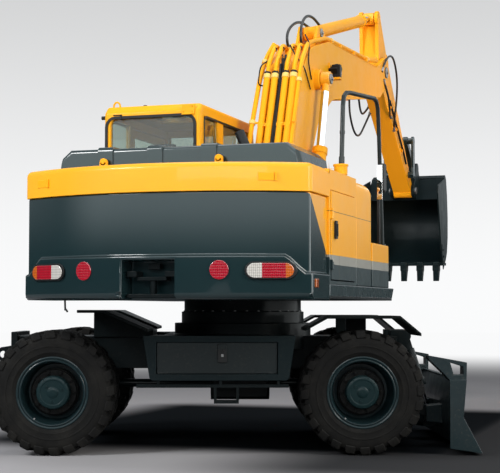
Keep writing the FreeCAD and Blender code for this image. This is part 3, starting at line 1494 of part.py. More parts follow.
# tail lamps: round-ended housings and round reflectors that follow the tail's curve
outside = s.tail_radius + s.seat_gap
lamp_pieces = []
for side in (-1, 1):
    middle = side * s.lamp_x
    low, high = middle - s.lamp_half, middle + s.lamp_half
    back, ahead = -s.tail_radius - 60, s.weight_front
    body = box((low, back, s.lamp_z - s.lamp_rise), (high, ahead, s.lamp_z + s.lamp_rise))
    ends = [cylinder(s.lamp_rise, back, ahead, "Y", (at, s.lamp_z)) for at in (low, high)]
    disc = cylinder(s.reflector_radius, back, ahead, "Y", (side * s.reflector_x, s.lamp_z))
    for form, depth in ((fuse(body, *ends), s.lamp_depth), (disc, s.reflector_thick)):
        skin = cylinder(outside + depth, s.weight_low, s.weight_top, "Z", (0, 0))
        core = cylinder(outside, s.weight_low - 5, s.weight_top + 5, "Z", (0, 0))
        lamp_pieces.append(common(form, cut(skin, core)))
node(together(*lamp_pieces), "tail_lamps", upper)


# ---------------------------------------------------------------- engine bay

bay = common(
    box(
        (-s.body_half + 4, -s.tail_radius - 50, s.weight_top + s.seat_gap),
        (s.body_half - 4, s.weight_front + 30, s.cover_top),
    ),
    cylinder(s.tail_radius, s.weight_top + s.seat_gap, s.cover_top, "Z", (0, 0)),
)
bay = soften(bay, s.band_round, lambda edge: all(
    v.Y < s.weight_front.number - 200 and abs(abs(v.X) - s.body_half.number + 4) < 1 for v in edge.Vertexes
) and abs(edge.Vertexes[0].Z - edge.Vertexes[1].Z) > 1)
bay = soften(bay, s.band_round * 0.8, lambda edge: all(
    abs(v.Z - s.cover_top.number) < 1 and v.Y < s.weight_front.number + 20 for v in edge.Vertexes
))
bay_front = box(
    (-s.body_half + 4, s.weight_front + s.seat_gap, s.flank_low),
    (s.body_half - 4, s.cover_front, s.cover_top),
)
bay_body = fuse(bay, bay_front)
hollow = box(
    (-s.body_half + 4 + s.cover_wall, s.weight_front + 15, s.flank_low - 5),
    (s.body_half - 4 - s.cover_wall, s.cover_front - s.cover_wall, s.cover_top - s.cover_wall),
)
side_hole = box(
    (-s.body_half - 20, s.weight_front + 40, s.flank_low + 30),
    (s.body_half + 20, s.cover_front - 60, s.weight_top + 60),
)
top_hole = box(
    (s.hood_left + 60, s.hood_rear + 60, s.cover_top - 60),
    (s.hood_right - 60, s.hood_front - 40, s.cover_top + 20),
)
rear_hollow = box(
    (s.hood_left + 60, s.hood_rear + 60, s.weight_top + s.seat_gap + s.cover_wall),
    (s.hood_right - 60, s.weight_front + 20, s.cover_top - s.cover_wall),
)
# rubber blocks under the hood's rim, and hinge straps beside the side doors
blocks = []
for x in (s.hood_left + 12, s.hood_right - 12):
    for y in (s.hood_rear + 150, s.hood_front - 150):
        blocks.append(box(
            (x - 10, y - 35, s.cover_top - 5), (x + 10, y + 35, s.cover_top + s.side_gap - s.seat_gap),
        ))
for side in (-1, 1):
    low, high = sorted((side * (s.body_half - 10), side * (s.body_half + 18)), key=lambda size: size.number)
    for z in (s.flank_low + 120, s.weight_top - 180):
        blocks.append(box(
            (low, s.weight_front + 34 - s.door_pin, z),
            (high, s.weight_front + 46 - s.door_pin - s.seat_gap, z + 90),
        ))
node(fuse(cut(bay_body, hollow, side_hole, top_hole, rear_hollow), *blocks), "engine_bay", upper)

node(box(
    (s.engine_left, s.weight_front + 260, s.deck_top + s.seat_gap),
    (s.engine_right, s.cover_front - 250, s.engine_top),
), "engine_block", upper)

for label, side in (("left", -1), ("right", 1)):
    gap = s.side_gap
    inner, outer = side * (s.body_half - 4 - s.cover_wall), side * (s.body_half + 4)
    low, high = sorted((inner, outer), key=lambda size: size.number)
    door = box(
        (low, s.weight_front + 40 + gap, s.flank_low + 30 + gap),
        (high, s.cover_front - 60 - gap, s.weight_top + 60 - gap),
    )
    pins = []
    for z in (s.flank_low + 120, s.weight_top - 180):
        pins.append(cylinder(
            s.door_pin, z, z + 90, "Z", (side * (s.body_half + 10), s.weight_front + 40 + gap),
        ))
    node(fuse(door, *pins), f"body_door_{label}", upper)

hood_outline = (
    (s.hood_left, s.cover_top + s.side_gap),
    (s.hood_left + s.hood_slope * 0.25, s.hood_top - 60),
    (s.hood_left + s.hood_slope, s.hood_top),
    (s.hood_right - s.hood_slope, s.hood_top),
    (s.hood_right - s.hood_slope * 0.25, s.hood_top - 60),
    (s.hood_right, s.cover_top + s.side_gap),
)
hood_body = soften(plate("XZ", hood_outline, s.hood_rear, s.hood_front), s.hood_round, lambda edge: all(
    abs(v.Y - s.hood_rear.number) < 1 and v.Z > s.hood_top.number - 70 for v in edge.Vertexes
))
hood_hollow = plate("XZ", (
    (s.hood_left + 25, s.cover_top - 10),
    (s.hood_left + 25 + s.hood_slope * 0.25, s.hood_top - 80),
    (s.hood_left + 20 + s.hood_slope, s.hood_top - 20),
    (s.hood_right - 20 - s.hood_slope, s.hood_top - 20),
    (s.hood_right - 25 - s.hood_slope * 0.25, s.hood_top - 80),
    (s.hood_right - 25, s.cover_top - 10),
), s.hood_rear + 22, s.hood_front - 22)
straps = [
    soften(box(
        (x, s.hood_rear - s.strap_rise, s.cover_top + s.side_gap + 8),
        (x + s.strap_width, s.hood_front - 30, s.hood_top + s.strap_rise),
    ), s.hood_round + 8, lambda edge: all(
        abs(v.Y - s.hood_rear.number + s.strap_rise.number) < 1
        and abs(v.Z - s.hood_top.number - s.strap_rise.number) < 1 for v in edge.Vertexes
    ))
    for x in (s.hood_left + 360, s.hood_left + 811, s.hood_left + 1290)
]
knuckles = [
    cylinder(s.hood_pin, x - 60, x + 60, "X", (s.hood_front, s.cover_top + s.side_gap + 4))
    for x in (s.hood_left + 200, s.hood_right - 200)
]
node(fuse(cut(fuse(hood_body, *straps), hood_hollow), *knuckles), "engine_hood", upper)


# ---------------------------------------------------------------- right-hand body, steps and rails

tank = box(
    (s.flank_inner, s.cover_front + s.seat_gap, s.deck_top + s.seat_gap),
    (s.body_half - 4, s.flank_front, s.flank_top),
)
tank = soften(tank, 60, lambda edge: all(
    abs(v.Y - s.flank_front.number) < 1 and v.X > 900 for v in edge.Vertexes
))
tank = soften(tank, 110, lambda edge: all(
    abs(v.Y - s.flank_front.number) < 61 and abs(v.Z - s.flank_top.number) < 1 for v in edge.Vertexes
))
node(box(
    (s.flank_inner + 40, s.flank_front + s.seat_gap, s.deck_top + s.seat_gap),
    (s.body_half - 4, s.stepbox_front, s.stepbox_top),
), "step_box", upper)

filler = cylinder(48, s.flank_top - 10, s.flank_top + 75, "Z", (s.filler_x, s.filler_y))
cap = cylinder(60, s.flank_top + 40, s.flank_top + 75, "Z", (s.filler_x, s.filler_y))
node(fuse(tank, filler, cap), "right_body", upper)

rail_x = s.rail_x
rail_line = (
    (rail_x, s.rail_foot, s.cover_top + 8),
    (rail_x, s.rail_rear, s.rail_top - 240),
    (rail_x, s.rail_rear + 35, s.rail_top - 155),
    (rail_x, s.rail_rear + 120, s.rail_top - 112),
    (rail_x, s.rail_rear + 255, s.rail_top - 90),
    (rail_x, s.rail_front - 105, s.rail_top),
    (rail_x, s.rail_front - 5, s.rail_top - 17),
    (rail_x, s.rail_front + 50, s.rail_top - 75),
    (rail_x, s.rail_front + 92, s.rail_top - 280),
    (rail_x, s.stepbox_front - 60, s.stepbox_top + 8),
)
rail_pieces = [
    cylinder(34, s.cover_top + s.seat_gap, s.cover_top + 16, "Z", (rail_x, s.rail_foot)),
    cylinder(34, s.stepbox_top + s.seat_gap, s.stepbox_top + 16, "Z", (rail_x, s.stepbox_front - 60)),
]
for start, end in zip(rail_line, rail_line[1:]):
    rail_pieces.append(rod_between(start, end, s.rail_radius))
for corner in rail_line[1:-1]:
    rail_pieces.append(ball(s.rail_radius, corner))
node(fuse(*rail_pieces), "handrail", upper)

bend_z = s.cover_top + s.pipe_upright
bend = (s.pipe_x, s.pipe_y, bend_z)
reach = (s.pipe_top - bend_z) / cosine(s.pipe_lean)


def leaning(radius, start, end):
    """A cylinder along the exhaust's leaning end."""
    made = cylinder(radius, start, end, "Z", (0, 0))
    return settle(together(made), bend, (0, 1, 0), -s.pipe_lean)


pipe = fuse(
    cylinder(s.pipe_radius, s.cover_top + s.seat_gap, bend_z, "Z", (s.pipe_x, s.pipe_y)),
    ball(s.pipe_radius, bend), leaning(s.pipe_radius, 0, reach),
)
collar = cylinder(s.pipe_radius + 24, s.cover_top + s.seat_gap, s.cover_top + 90, "Z", (s.pipe_x, s.pipe_y))
elbow = box(
    (s.pipe_x - 45, s.cover_front + s.seat_gap, s.cover_top - 110),
    (s.pipe_x + 45, s.pipe_y + 30, s.cover_top + 20),
)
mouth = leaning(s.pipe_radius - 5, reach - 150, reach + 5)
node(cut(fuse(pipe, collar, elbow), mouth), "exhaust_pipe", upper)

stalk = box(
    (s.body_half - 70, s.mirror_y - 14, s.stepbox_top + s.seat_gap),
    (s.body_half - 42, s.mirror_y + 14, s.mirror_z),
)
foot_bar = box(
    (s.body_half - 70, s.mirror_y - 14, s.mirror_z - 40),
    (s.body_half + 10, s.mirror_y + 14, s.mirror_z - 12),
)
glass = box(
    (s.body_half - 28, s.mirror_y - s.mirror_wide / 2, s.mirror_z - 20),
    (s.body_half + 10, s.mirror_y + s.mirror_wide / 2, s.mirror_z + 240),
)
node(fuse(stalk, foot_bar, glass), "right_mirror", upper)


# ---------------------------------------------------------------- cab

cab_outline = (
    (s.cab_rear, s.cab_floor),
    (s.cab_front, s.cab_floor),
    (s.cab_front, s.cab_floor + 500),
    (s.cab_nose, s.cab_roof - 60),
    (s.cab_nose - 80, s.cab_roof),
    (s.cab_rear + 60, s.cab_roof),
    (s.cab_rear, s.cab_roof - 60),
)
wall = s.cab_wall
cab_inner = (
    (s.cab_rear + wall, s.cab_floor + wall),
    (s.cab_front - wall, s.cab_floor + wall),
    (s.cab_front - wall, s.cab_floor + 500),
    (s.cab_nose - wall, s.cab_roof - 60 - wall),
    (s.cab_nose - 80, s.cab_roof - wall),
    (s.cab_rear + 60, s.cab_roof - wall),
    (s.cab_rear + wall, s.cab_roof - 60 - wall),
)
cab_body = plate("YZ", cab_outline, s.cab_left, s.cab_right, ((0, 30), (1, 60), (6, 50)))
cab_body = soften(cab_body, s.cab_round, lambda edge: all(
    v.Z > s.cab_roof.number - 100 for v in edge.Vertexes) and all(
    abs(v.X - edge.Vertexes[0].X) < 1 for v in edge.Vertexes) and edge.Length > 5)
cab_room = plate("YZ", cab_inner, s.cab_left + wall, s.cab_right - wall)
middle_x = (s.cab_left + s.cab_right) / 2
rear_window = box(
    (s.cab_left + s.pane_side, s.cab_rear - 20, s.cab_sill),
    (s.cab_right - s.pane_side, s.cab_rear + wall + 20, s.window_top),
)
rear_window = soften(rear_window, s.pane_corner, lambda edge: abs(
    edge.Vertexes[0].Y - edge.Vertexes[1].Y) > 1)
front_window = plate("YZ", (
    (s.cab_front - wall - 30, s.cab_floor + 560),
    (s.cab_front + 60, s.cab_floor + 560),
    (s.cab_front + 60, s.window_top),
    (s.cab_nose - wall - 30, s.window_top),
), s.cab_left + s.pane_side, s.cab_right - s.pane_side)
low_window = box(
    (s.cab_left + s.pane_side, s.cab_front - wall - 20, s.cab_floor + 120),
    (s.cab_right - s.pane_side, s.cab_front + 20, s.cab_floor + 440),
)


def side_opening(rear, low, front, high, inner, outer):
    """An opening in a side wall whose front edge leans as the windscreen does."""
    return plate("YZ", (
        (rear, low), (front, low), (front - s.pillar_lean, high), (rear, high),
    ), inner, outer)


right_windows = [
    side_opening(s.cab_rear + 90, s.cab_sill, s.cabdoor_rear + 5, s.window_top,
                 s.cab_right - wall - 20, s.cab_right + 20),
    side_opening(s.cabdoor_rear + 60, s.cab_sill - 350, s.cabdoor_front + 60, s.window_top,
                 s.cab_right - wall - 20, s.cab_right + 20),
]
left_quarter = box(
    (s.cab_left - 20, s.cab_rear + 90, s.cab_sill),
    (s.cab_left + wall + 20, s.cabdoor_rear - 60, s.window_top),
)
doorway = side_opening(s.cabdoor_rear, s.cabdoor_low, s.cabdoor_front + 90, s.cabdoor_top,
                       s.cab_left - 20, s.cab_left + wall + 20)
hatch = box(
    (middle_x - 260, s.cabdoor_rear - 160, s.cab_roof - wall - 20),
    (middle_x + 260, s.cabdoor_rear + 330, s.cab_roof + 20),
)
hinge_blocks = [
    box(
        (s.cab_left - s.hinge_out, s.cabdoor_rear + 22 - s.hinge_pin - 30, z),
        (s.cab_left + 5, s.cabdoor_rear + 22 - s.hinge_pin - s.seat_gap, z + 90),
    )
    for z in (s.cabdoor_low + 150, s.cabdoor_top - 300)
]
cab_cut = cut(
    cab_body, cab_room, rear_window, front_window, low_window, left_quarter, doorway, hatch, *right_windows,
)
node(fuse(cab_cut, *hinge_blocks), "cab_shell", upper)

# fixed panes stand in the middle of the walls
gap = s.seat_gap
pane = s.pane_thick
screen_low = s.cab_floor + 560 + gap
screen_high = s.window_top - gap
middle_wall = wall / 2
panes = [
    soften(box(
        (s.cab_left + s.pane_side + gap, s.cab_rear + middle_wall, s.cab_sill + gap),
        (s.cab_right - s.pane_side - gap, s.cab_rear + middle_wall + pane, s.window_top - gap),
    ), s.pane_corner, lambda edge: abs(edge.Vertexes[0].Y - edge.Vertexes[1].Y) > 1),
    box(
        (s.cab_left + s.pane_side + gap, s.cab_front - middle_wall - pane, s.cab_floor + 120 + gap),
        (s.cab_right - s.pane_side - gap, s.cab_front - middle_wall, s.cab_floor + 440 - gap),
    ),
    box(
        (s.cab_left + middle_wall, s.cab_rear + 90 + gap, s.cab_sill + gap),
        (s.cab_left + middle_wall + pane, s.cabdoor_rear - 60 - gap, s.window_top - gap),
    ),
    box(
        (middle_x - 260 + gap, s.cabdoor_rear - 160 + gap, s.cab_roof - middle_wall),
        (middle_x + 260 - gap, s.cabdoor_rear + 330 - gap, s.cab_roof - middle_wall + pane),
    ),
    side_opening(s.cab_rear + 90 + gap, s.cab_sill + gap, s.cabdoor_rear + 5 - gap, s.window_top - gap,
                 s.cab_right - middle_wall, s.cab_right - middle_wall + pane),
    side_opening(s.cabdoor_rear + 60 + gap, s.cab_sill - 350 + gap, s.cabdoor_front + 60 - gap, s.window_top - gap,
                 s.cab_right - middle_wall, s.cab_right - middle_wall + pane),
]
lean = (s.cab_front - s.cab_nose) / (s.cab_roof - 60 - s.cab_floor - 500)
screen_foot = s.cab_front - (screen_low - s.cab_floor - 500) * lean - 20
screen_head = s.cab_front - (screen_high - s.cab_floor - 500) * lean - 20
panes.append(plate("YZ", (
    (screen_foot - pane, screen_low),
    (screen_foot, screen_low),
    (screen_head, screen_high),
    (screen_head - pane, screen_high),
), s.cab_left + s.pane_side + gap, s.cab_right - s.pane_side - gap))
node(together(*panes), "cab_glass", upper)

# cab door: a frame with one tall pane, hinged at its rear edge
gap = s.side_gap
frame_wide = s.cabdoor_frame
leaf = side_opening(s.cabdoor_rear + gap, s.cabdoor_low + gap, s.cabdoor_front + 90 - gap, s.cabdoor_top - gap,
                    s.cab_left, s.cab_left + s.leaf_thick)
view = side_opening(
    s.cabdoor_rear + gap + frame_wide, s.cabdoor_low + gap + 330,
    s.cabdoor_front + 90 - gap - frame_wide, s.cabdoor_top - gap - frame_wide,
    s.cab_left - 10, s.cab_left + s.leaf_thick + 10,
)
handle = box(
    (s.cab_left - 32, s.cabdoor_front - 60, s.cabdoor_low + 250),
    (s.cab_left + 5, s.cabdoor_front + 20, s.cabdoor_low + 290),
)
hinges = [
    cylinder(s.hinge_pin, z, z + 90, "Z", (s.cab_left - s.hinge_out, s.cabdoor_rear + 22))
    for z in (s.cabdoor_low + 150, s.cabdoor_top - 300)
]
arms = [
    box(
        (s.cab_left - s.hinge_out, s.cabdoor_rear + 12, z + 10),
        (s.cab_left + 5, s.cabdoor_rear + 90, z + 80),
    )
    for z in (s.cabdoor_low + 150, s.cabdoor_top - 300)
]
node(fuse(cut(leaf, view), handle, *hinges, *arms), "cab_door", upper)
gap = s.seat_gap
inset = s.side_gap + frame_wide + gap
node(side_opening(
    s.cabdoor_rear + inset, s.cabdoor_low + s.side_gap + 330 + gap,
    s.cabdoor_front + 90 - inset, s.cabdoor_top - inset,
    s.cab_left + 14, s.cab_left + 14 + pane,
), "cab_door_glass", upper)

# what shows through the glass: seat, side consoles and steering column
floor = s.cab_floor + s.cab_wall + s.seat_gap
plinth = box((middle_x - 190, s.seat_y - 200, floor), (middle_x + 190, s.seat_y + 230, s.seat_z - 130))
cushion = box((middle_x - 255, s.seat_y - 220, s.seat_z - 130), (middle_x + 255, s.seat_y + 290, s.seat_z))
back = plate("YZ", (
    (s.seat_y - 160, s.seat_z - 20),
    (s.seat_y - 330, s.seat_z + 620),
    (s.seat_y - 200, s.seat_z + 640),
    (s.seat_y - 60, s.seat_z - 10),
), middle_x - 240, middle_x + 240)
head = plate("YZ", (
    (s.seat_y - 335, s.seat_z + 650),
    (s.seat_y - 360, s.seat_z + 830),
    (s.seat_y - 270, s.seat_z + 840),
    (s.seat_y - 235, s.seat_z + 630),
), middle_x - 140, middle_x + 140)
node(fuse(plinth, cushion, back, head), "operator_seat", upper)
consoles = []
for side in (-1, 1):
    low, high = sorted((middle_x + side * 275, middle_x + side * 400), key=lambda size: size.number)
    consoles.append(box((low, s.seat_y - 150, floor), (high, s.seat_y + 330, s.seat_z + 130)))
    stick = (low + high) / 2
    consoles.append(cylinder(22, s.seat_z + 120, s.seat_z + 300, "Z", (stick, s.seat_y + 260)))
column = plate("YZ", (
    (s.seat_y + 700, floor),
    (s.seat_y + 850, floor),
    (s.seat_y + 640, s.seat_z + 260),
    (s.seat_y + 560, s.seat_z + 230),
), middle_x - 60, middle_x + 60)
wheel_disc = cylinder(185, 0, 30, "Z", (0, 0))
hub_hole = cylinder(160, -5, 35, "Z", (0, 0))
spokes = box((-170, -22, 4), (170, 22, 24))
steering = fuse(cut(wheel_disc, hub_hole), spokes)
settle(steering, (middle_x, s.seat_y + 600, s.seat_z + 236), (1, 0, 0), 25)
node(together(fuse(*consoles[:2]), fuse(*consoles[2:]), fuse(column, steering)), "cab_controls", upper)

# work lamps, one on each side of the boom
lamps = []
for side in (-1, 1):
    x = s.boom_half * side
    low, high = sorted((x + side * s.seat_gap, x + side * 95), key=lambda size: size.number)
    lamps.append(fuse(
        box((low, s.lamp_boom_y - 55, s.lamp_boom_z - 45), (high, s.lamp_boom_y + 20, s.lamp_boom_z + 45)),
        cylinder(
            58, s.lamp_boom_y + 10, s.lamp_boom_y + 60, "Y", ((low + high) / 2 + side * 20, s.lamp_boom_z),
        ),
    ))
node(together(*lamps), "boom_lamps", on_boom)


doc.recompute()
os.makedirs("parts", exist_ok=True)
faults = []
for thing in doc.Objects:
    if "Invalid" in thing.State or "Error" in thing.State:
        faults.append(f"{thing.Name} {thing.TypeId} {thing.State}")
for piece in nodes:
    if piece.Shape.isNull() or not piece.Shape.isValid() or not piece.Shape.Solids:
        faults.append(f"{piece.Label} has no valid shape")
for fault in faults:
    print("FAULT", fault)
if faults:
    raise SystemExit(1)
for piece in nodes:
    piece.Shape.exportStep(f"parts/{piece.Label}.step")
    print(piece.Label, len(piece.Shape.Solids), round(piece.Shape.Volume / 1e6), "litres/1000")
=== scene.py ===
"""A wheeled excavator at rest on a pale studio floor, seen from behind its right rear corner.

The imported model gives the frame: every piece here is in metres in the same frame, rides on one
of its bodies, and takes its place from the boxes of the model's nodes and from its joints.
"""

import json
import math

import bmesh
import bpy
from mathutils import Matrix, Vector


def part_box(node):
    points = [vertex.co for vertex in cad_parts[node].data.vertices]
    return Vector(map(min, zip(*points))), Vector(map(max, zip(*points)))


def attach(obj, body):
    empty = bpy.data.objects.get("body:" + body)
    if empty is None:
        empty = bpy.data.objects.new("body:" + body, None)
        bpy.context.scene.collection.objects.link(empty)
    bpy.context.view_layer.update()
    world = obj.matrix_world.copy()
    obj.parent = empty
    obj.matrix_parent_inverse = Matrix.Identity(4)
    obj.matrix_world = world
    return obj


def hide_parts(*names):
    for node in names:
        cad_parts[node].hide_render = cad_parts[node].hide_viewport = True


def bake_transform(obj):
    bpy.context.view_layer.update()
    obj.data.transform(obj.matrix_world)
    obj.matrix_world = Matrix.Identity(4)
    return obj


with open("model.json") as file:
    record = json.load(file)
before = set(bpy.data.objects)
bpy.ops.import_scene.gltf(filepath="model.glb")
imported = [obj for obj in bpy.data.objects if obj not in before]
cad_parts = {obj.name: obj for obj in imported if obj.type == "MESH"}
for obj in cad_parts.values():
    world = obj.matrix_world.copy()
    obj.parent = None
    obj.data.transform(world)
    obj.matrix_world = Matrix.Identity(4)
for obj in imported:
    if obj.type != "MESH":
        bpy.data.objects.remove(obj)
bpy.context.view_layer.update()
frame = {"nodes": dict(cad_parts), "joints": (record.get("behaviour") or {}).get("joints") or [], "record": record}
joint_named = {joint["name"]: joint for joint in frame["joints"]}


# ------------------------------------------------------------------ viewpoint and studio
# A tripod camera about chest high, thirteen metres behind the slewing axis and to its right, with
# a short telephoto lens tipped up three degrees. The studio is pale, with five soft lamps, and a
# painted shadow darkens its floor under the machine and to its right.

slew_axis = Vector(joint_named["slew"]["pos_m"])
slew_foot = Vector((slew_axis.x, slew_axis.y, 0))
heading, upward_tilt = math.radians(18.2), math.radians(3.09)
eye_height, eye_aside, eye_behind = 1.24, 0.069, 12.87
forwards = Vector((-math.sin(heading), math.cos(heading), 0))
rightwards = Vector((math.cos(heading), math.sin(heading), 0))
stand = slew_foot + eye_aside * rightwards - eye_behind * forwards
camera = bpy.data.objects.new("camera", bpy.data.cameras.new("camera"))
camera.location = (stand.x, stand.y, eye_height)
camera.rotation_euler = (math.pi / 2 + upward_tilt, 0, heading)
camera.data.sensor_width = 36
camera.data.lens = 97.9
camera.data.clip_end = 400
bpy.context.scene.collection.objects.link(camera)
bpy.context.scene.camera = camera
bpy.context.scene.view_settings.view_transform = "Standard"


class Wire:
    """A shader socket that takes arithmetic: each operation adds its Math node."""

    def __init__(self, finish, socket):
        self.finish = finish
        self.socket = socket

    def _with(self, operation, *others):
        return self.finish.node("ShaderNodeMath", {"operation": operation}, self, *others)

    def __add__(self, other):
        return self._with("ADD", other)

    def __sub__(self, other):
        return self._with("SUBTRACT", other)

    def __mul__(self, other):
        return self._with("MULTIPLY", other)

    def __pow__(self, other):
        return self._with("POWER", other)

    __radd__ = __add__
    __rmul__ = __mul__

    def __rsub__(self, other):
        return self.finish.node("ShaderNodeMath", {"operation": "SUBTRACT"}, other, self)

    def above(self, level):
        """1 where the value is over the level."""
        return self._with("GREATER_THAN", level)

    def below(self, level):
        """1 where the value is under the level."""
        return self._with("LESS_THAN", level)

    def most(self, other):
        """The greater of two values."""
        return self._with("MAXIMUM", other)

    def size(self):
        """The value without its sign."""
        return self._with("ABSOLUTE")

    def wave(self):
        """The value's sine."""
        return self._with("SINE")

    def ramp(self, low, high, to_low=0.0, to_high=1.0):
        """The value's run from low to high, eased at both ends and held outside them."""
        smooth = {"interpolation_type": "SMOOTHSTEP"}
        return self.finish.node("ShaderNodeMapRange", smooth, self, low, high, to_low, to_high)


class Finish:
    """A material whose Principled shader is fed by nodes made one way."""

    def __init__(self, name, world=None):
        holder = world or bpy.data.materials.new(name)
        holder.use_nodes = True
        self.holder = holder
        self.tree = holder.node_tree
        self.tree.nodes.clear()
        kind = "World" if world else "Material"
        self.last = self.tree.nodes.new("ShaderNodeOutput" + kind)
        if not world:
            self.shader = self.tree.nodes.new("ShaderNodeBsdfPrincipled")
            self.tree.links.new(self.shader.outputs[0], self.last.inputs["Surface"])

    def feed(self, socket, value):
        """Links a wire to a socket, or sets the socket's own value."""
        if isinstance(value, Wire):
            self.tree.links.new(value.socket, socket)
        elif isinstance(value, (int, float)) and hasattr(socket.default_value, "__len__"):
            socket.default_value = [value] * len(socket.default_value)
        elif isinstance(value, tuple) and len(value) == 3 and len(socket.default_value) == 4:
            socket.default_value = (*value, 1)
        else:
            socket.default_value = value

    def node(self, kind, settings=None, *values, out=0, **named):
        """A node: its settings first, then its sockets in order, then those given by name."""
        made = self.tree.nodes.new(kind)
        for key, value in (settings or {}).items():
            setattr(made, key, value)
        live = [socket for socket in made.inputs if socket.enabled]
        for socket, value in zip(live, values):
            if value is not None:
                self.feed(socket, value)
        for key, value in named.items():
            self.feed(next(s for s in live if s.name == key.replace("_", " ")), value)
        return Wire(self, made.outputs[out])

    def place(self):
        """Where a point lies on the object, in metres."""
        return self.node("ShaderNodeTexCoord", out="Object")

    def along(self, axis):
        """One coordinate of that place."""
        split = self.node("ShaderNodeSeparateXYZ", None, self.place())
        return Wire(self, split.socket.node.outputs["XYZ".index(axis)])

    def noise(self, scale, detail=3.0, rough=0.55):
        """Cloudy values from 0 to 1, with so many clouds to the metre."""
        named = {"Scale": scale, "Detail": detail, "Roughness": rough}
        return self.node("ShaderNodeTexNoise", None, self.place(), **named)

    def blend(self, factor, low, high):
        """A mix of two colours."""
        made = self.tree.nodes.new("ShaderNodeMix")
        made.data_type = "RGBA"
        self.feed(made.inputs["Factor"], factor)
        self.feed(made.inputs[6], low)
        self.feed(made.inputs[7], high)
        return Wire(self, made.outputs[2])

    def relief(self, height, depth):
        """A Bump node: height is 0 to 1, depth is in metres."""
        return self.node("ShaderNodeBump", None, Height=height, Distance=depth, Strength=1.0)

    def wear(self, **sockets):
        """Sets the Principled shader's sockets."""
        for key, value in sockets.items():
            self.feed(self.shader.inputs[key.replace("_", " ")], value)
        return self


studio = Finish("studio", bpy.data.worlds.new("studio"))
bpy.context.scene.world = studio.holder
direction = studio.node("ShaderNodeTexCoord", out="Generated")
height = studio.node("ShaderNodeSeparateXYZ", None, direction, out="Z")


def facing(way):
    """How far the direction faces one way, as a cosine."""
    dot = {"operation": "DOT_PRODUCT"}
    return studio.node("ShaderNodeVectorMath", dot, direction, way, out="Value")


shade = studio.blend(height.ramp(0.0, 0.30), (0.96, 0.965, 0.97), (0.60, 0.605, 0.61))
sky = studio.node("ShaderNodeBackground", None, Color=shade, Strength=1.0)
fill = studio.node("ShaderNodeBackground", None, Color=(0.62, 0.65, 0.70), Strength=0.20)
aloft = studio.blend(facing(-forwards).ramp(0.05, 0.45), (0.45, 0.48, 0.50), (2.10, 2.30, 2.35))
behind = studio.blend(height.ramp(0.034, 0.085), (0.020, 0.030, 0.034), aloft)
bright_side = facing(rightwards).ramp(0.60, 0.80) * height.above(-0.02)
around = studio.blend(bright_side, behind, (3.40, 3.60, 3.60))
mirrored = studio.node("ShaderNodeBackground", None, Strength=1.0, Color=around)
path = studio.tree.nodes.new("ShaderNodeLightPath")
seen, through, gloss = (
    Wire(studio, path.outputs[f"Is {kind} Ray"]) for kind in ("Camera", "Transmission", "Glossy")
)
unseen = studio.node("ShaderNodeMixShader", None, gloss, fill, mirrored)
mixed = studio.node("ShaderNodeMixShader", None, seen.most(through), unseen, sky)
studio.feed(studio.last.inputs["Surface"], mixed)

slab = bmesh.new()
floor_radius = 60
bmesh.ops.create_circle(slab, cap_ends=True, segments=96, radius=floor_radius)
floor_mesh = bpy.data.meshes.new("studio_floor")
slab.to_mesh(floor_mesh)
floor = bpy.data.objects.new("studio_floor", floor_mesh)
bpy.context.scene.collection.objects.link(floor)
ground = Finish("studio_floor")
outwards = ground.node("ShaderNodeVectorMath", {"operation": "LENGTH"}, ground.place(), out="Value")
pale = ground.blend(ground.noise(0.8), (0.385, 0.383, 0.400), (0.410, 0.408, 0.424))


def outside(middle, half):
    """How far a point of the floor lies outside a rectangle with its middle and half sizes."""
    east = (ground.along("X") - middle[0]).size() - half[0]
    north = (ground.along("Y") - middle[1]).size() - half[1]
    return (east.most(0) ** 2 + north.most(0) ** 2) ** 0.5


# A painted shadow: the floor's colour is darkened to near black under the machine, and in a softer patch to its
# right.
painted_shadow_under_machine = outside((-0.1, -0.6), (2.0, 2.3)).ramp(0.0, 1.0, 1.0, 0.0)
painted_shadow_right_of_machine = outside((2.6, -2.0), (1.2, 2.2)).ramp(0.0, 1.6, 0.93, 0.0)
floor_with_painted_shadow = ground.blend(painted_shadow_under_machine.most(painted_shadow_right_of_machine), pale, (0.010, 0.012, 0.014))
ground.wear(Base_Color=floor_with_painted_shadow, Roughness=0.9, Specular_IOR_Level=0.0)
glow = ground.node("ShaderNodeEmission", None, Color=(0.95, 0.955, 0.96), Strength=1.0)
bounce = ground.tree.nodes.new("ShaderNodeLightPath")
far_off = outwards.ramp(9.0, 24.0) * (1 - Wire(ground, bounce.outputs["Is Glossy Ray"]))
painted = Wire(ground, ground.shader.outputs[0])
sweep = ground.node("ShaderNodeMixShader", None, far_off, painted, glow)
ground.feed(ground.last.inputs["Surface"], sweep)
floor_mesh.materials.append(ground.holder)


def softbox(name, at, toward, size, power, tint=(1, 1, 1), spread=180):
    """An area lamp, aimed at a point."""
    lamp = bpy.data.lights.new(name, "AREA")
    lamp.shape = "RECTANGLE"
    lamp.size, lamp.size_y = size
    lamp.energy = power
    lamp.spread = math.radians(spread)
    lamp.color = tint
    holder = bpy.data.objects.new(name, lamp)
    holder.location = at
    holder.rotation_euler = (Vector(toward) - Vector(at)).to_track_quat("-Z", "Y").to_euler()
    bpy.context.scene.collection.objects.link(holder)


warm, rusty = (1, 0.95, 0.88), (1, 0.58, 0.36)
softbox("key", (-6.5, -13.0, 8.5), (0, -1, 2.2), (3.5, 3.5), 1250)
softbox("overhead", (0.5, -1.5, 11), (0.5, -1.5, 0), (8, 8), 520)
softbox("behind_camera", (3.0, -19.0, 6.2), (0.2, -4.5, 2.2), (11, 4), 700)
softbox("right_fill", (10, -7.5, 5.5), (0.5, 0, 2.2), (5, 5), 800, warm)
softbox("under_arm", (4.6, -2.2, 0.5), (0.2, 4.0, 3.9), (1.5, 1.5), 30, rusty, 50)


# ------------------------------------------------------------------ tyres
# Twin construction tyres of black rubber: a carcass with a rib round each sidewall, and deep
# blocks moulded over both shoulders, half a pitch apart from side to side. Moulded and cured.

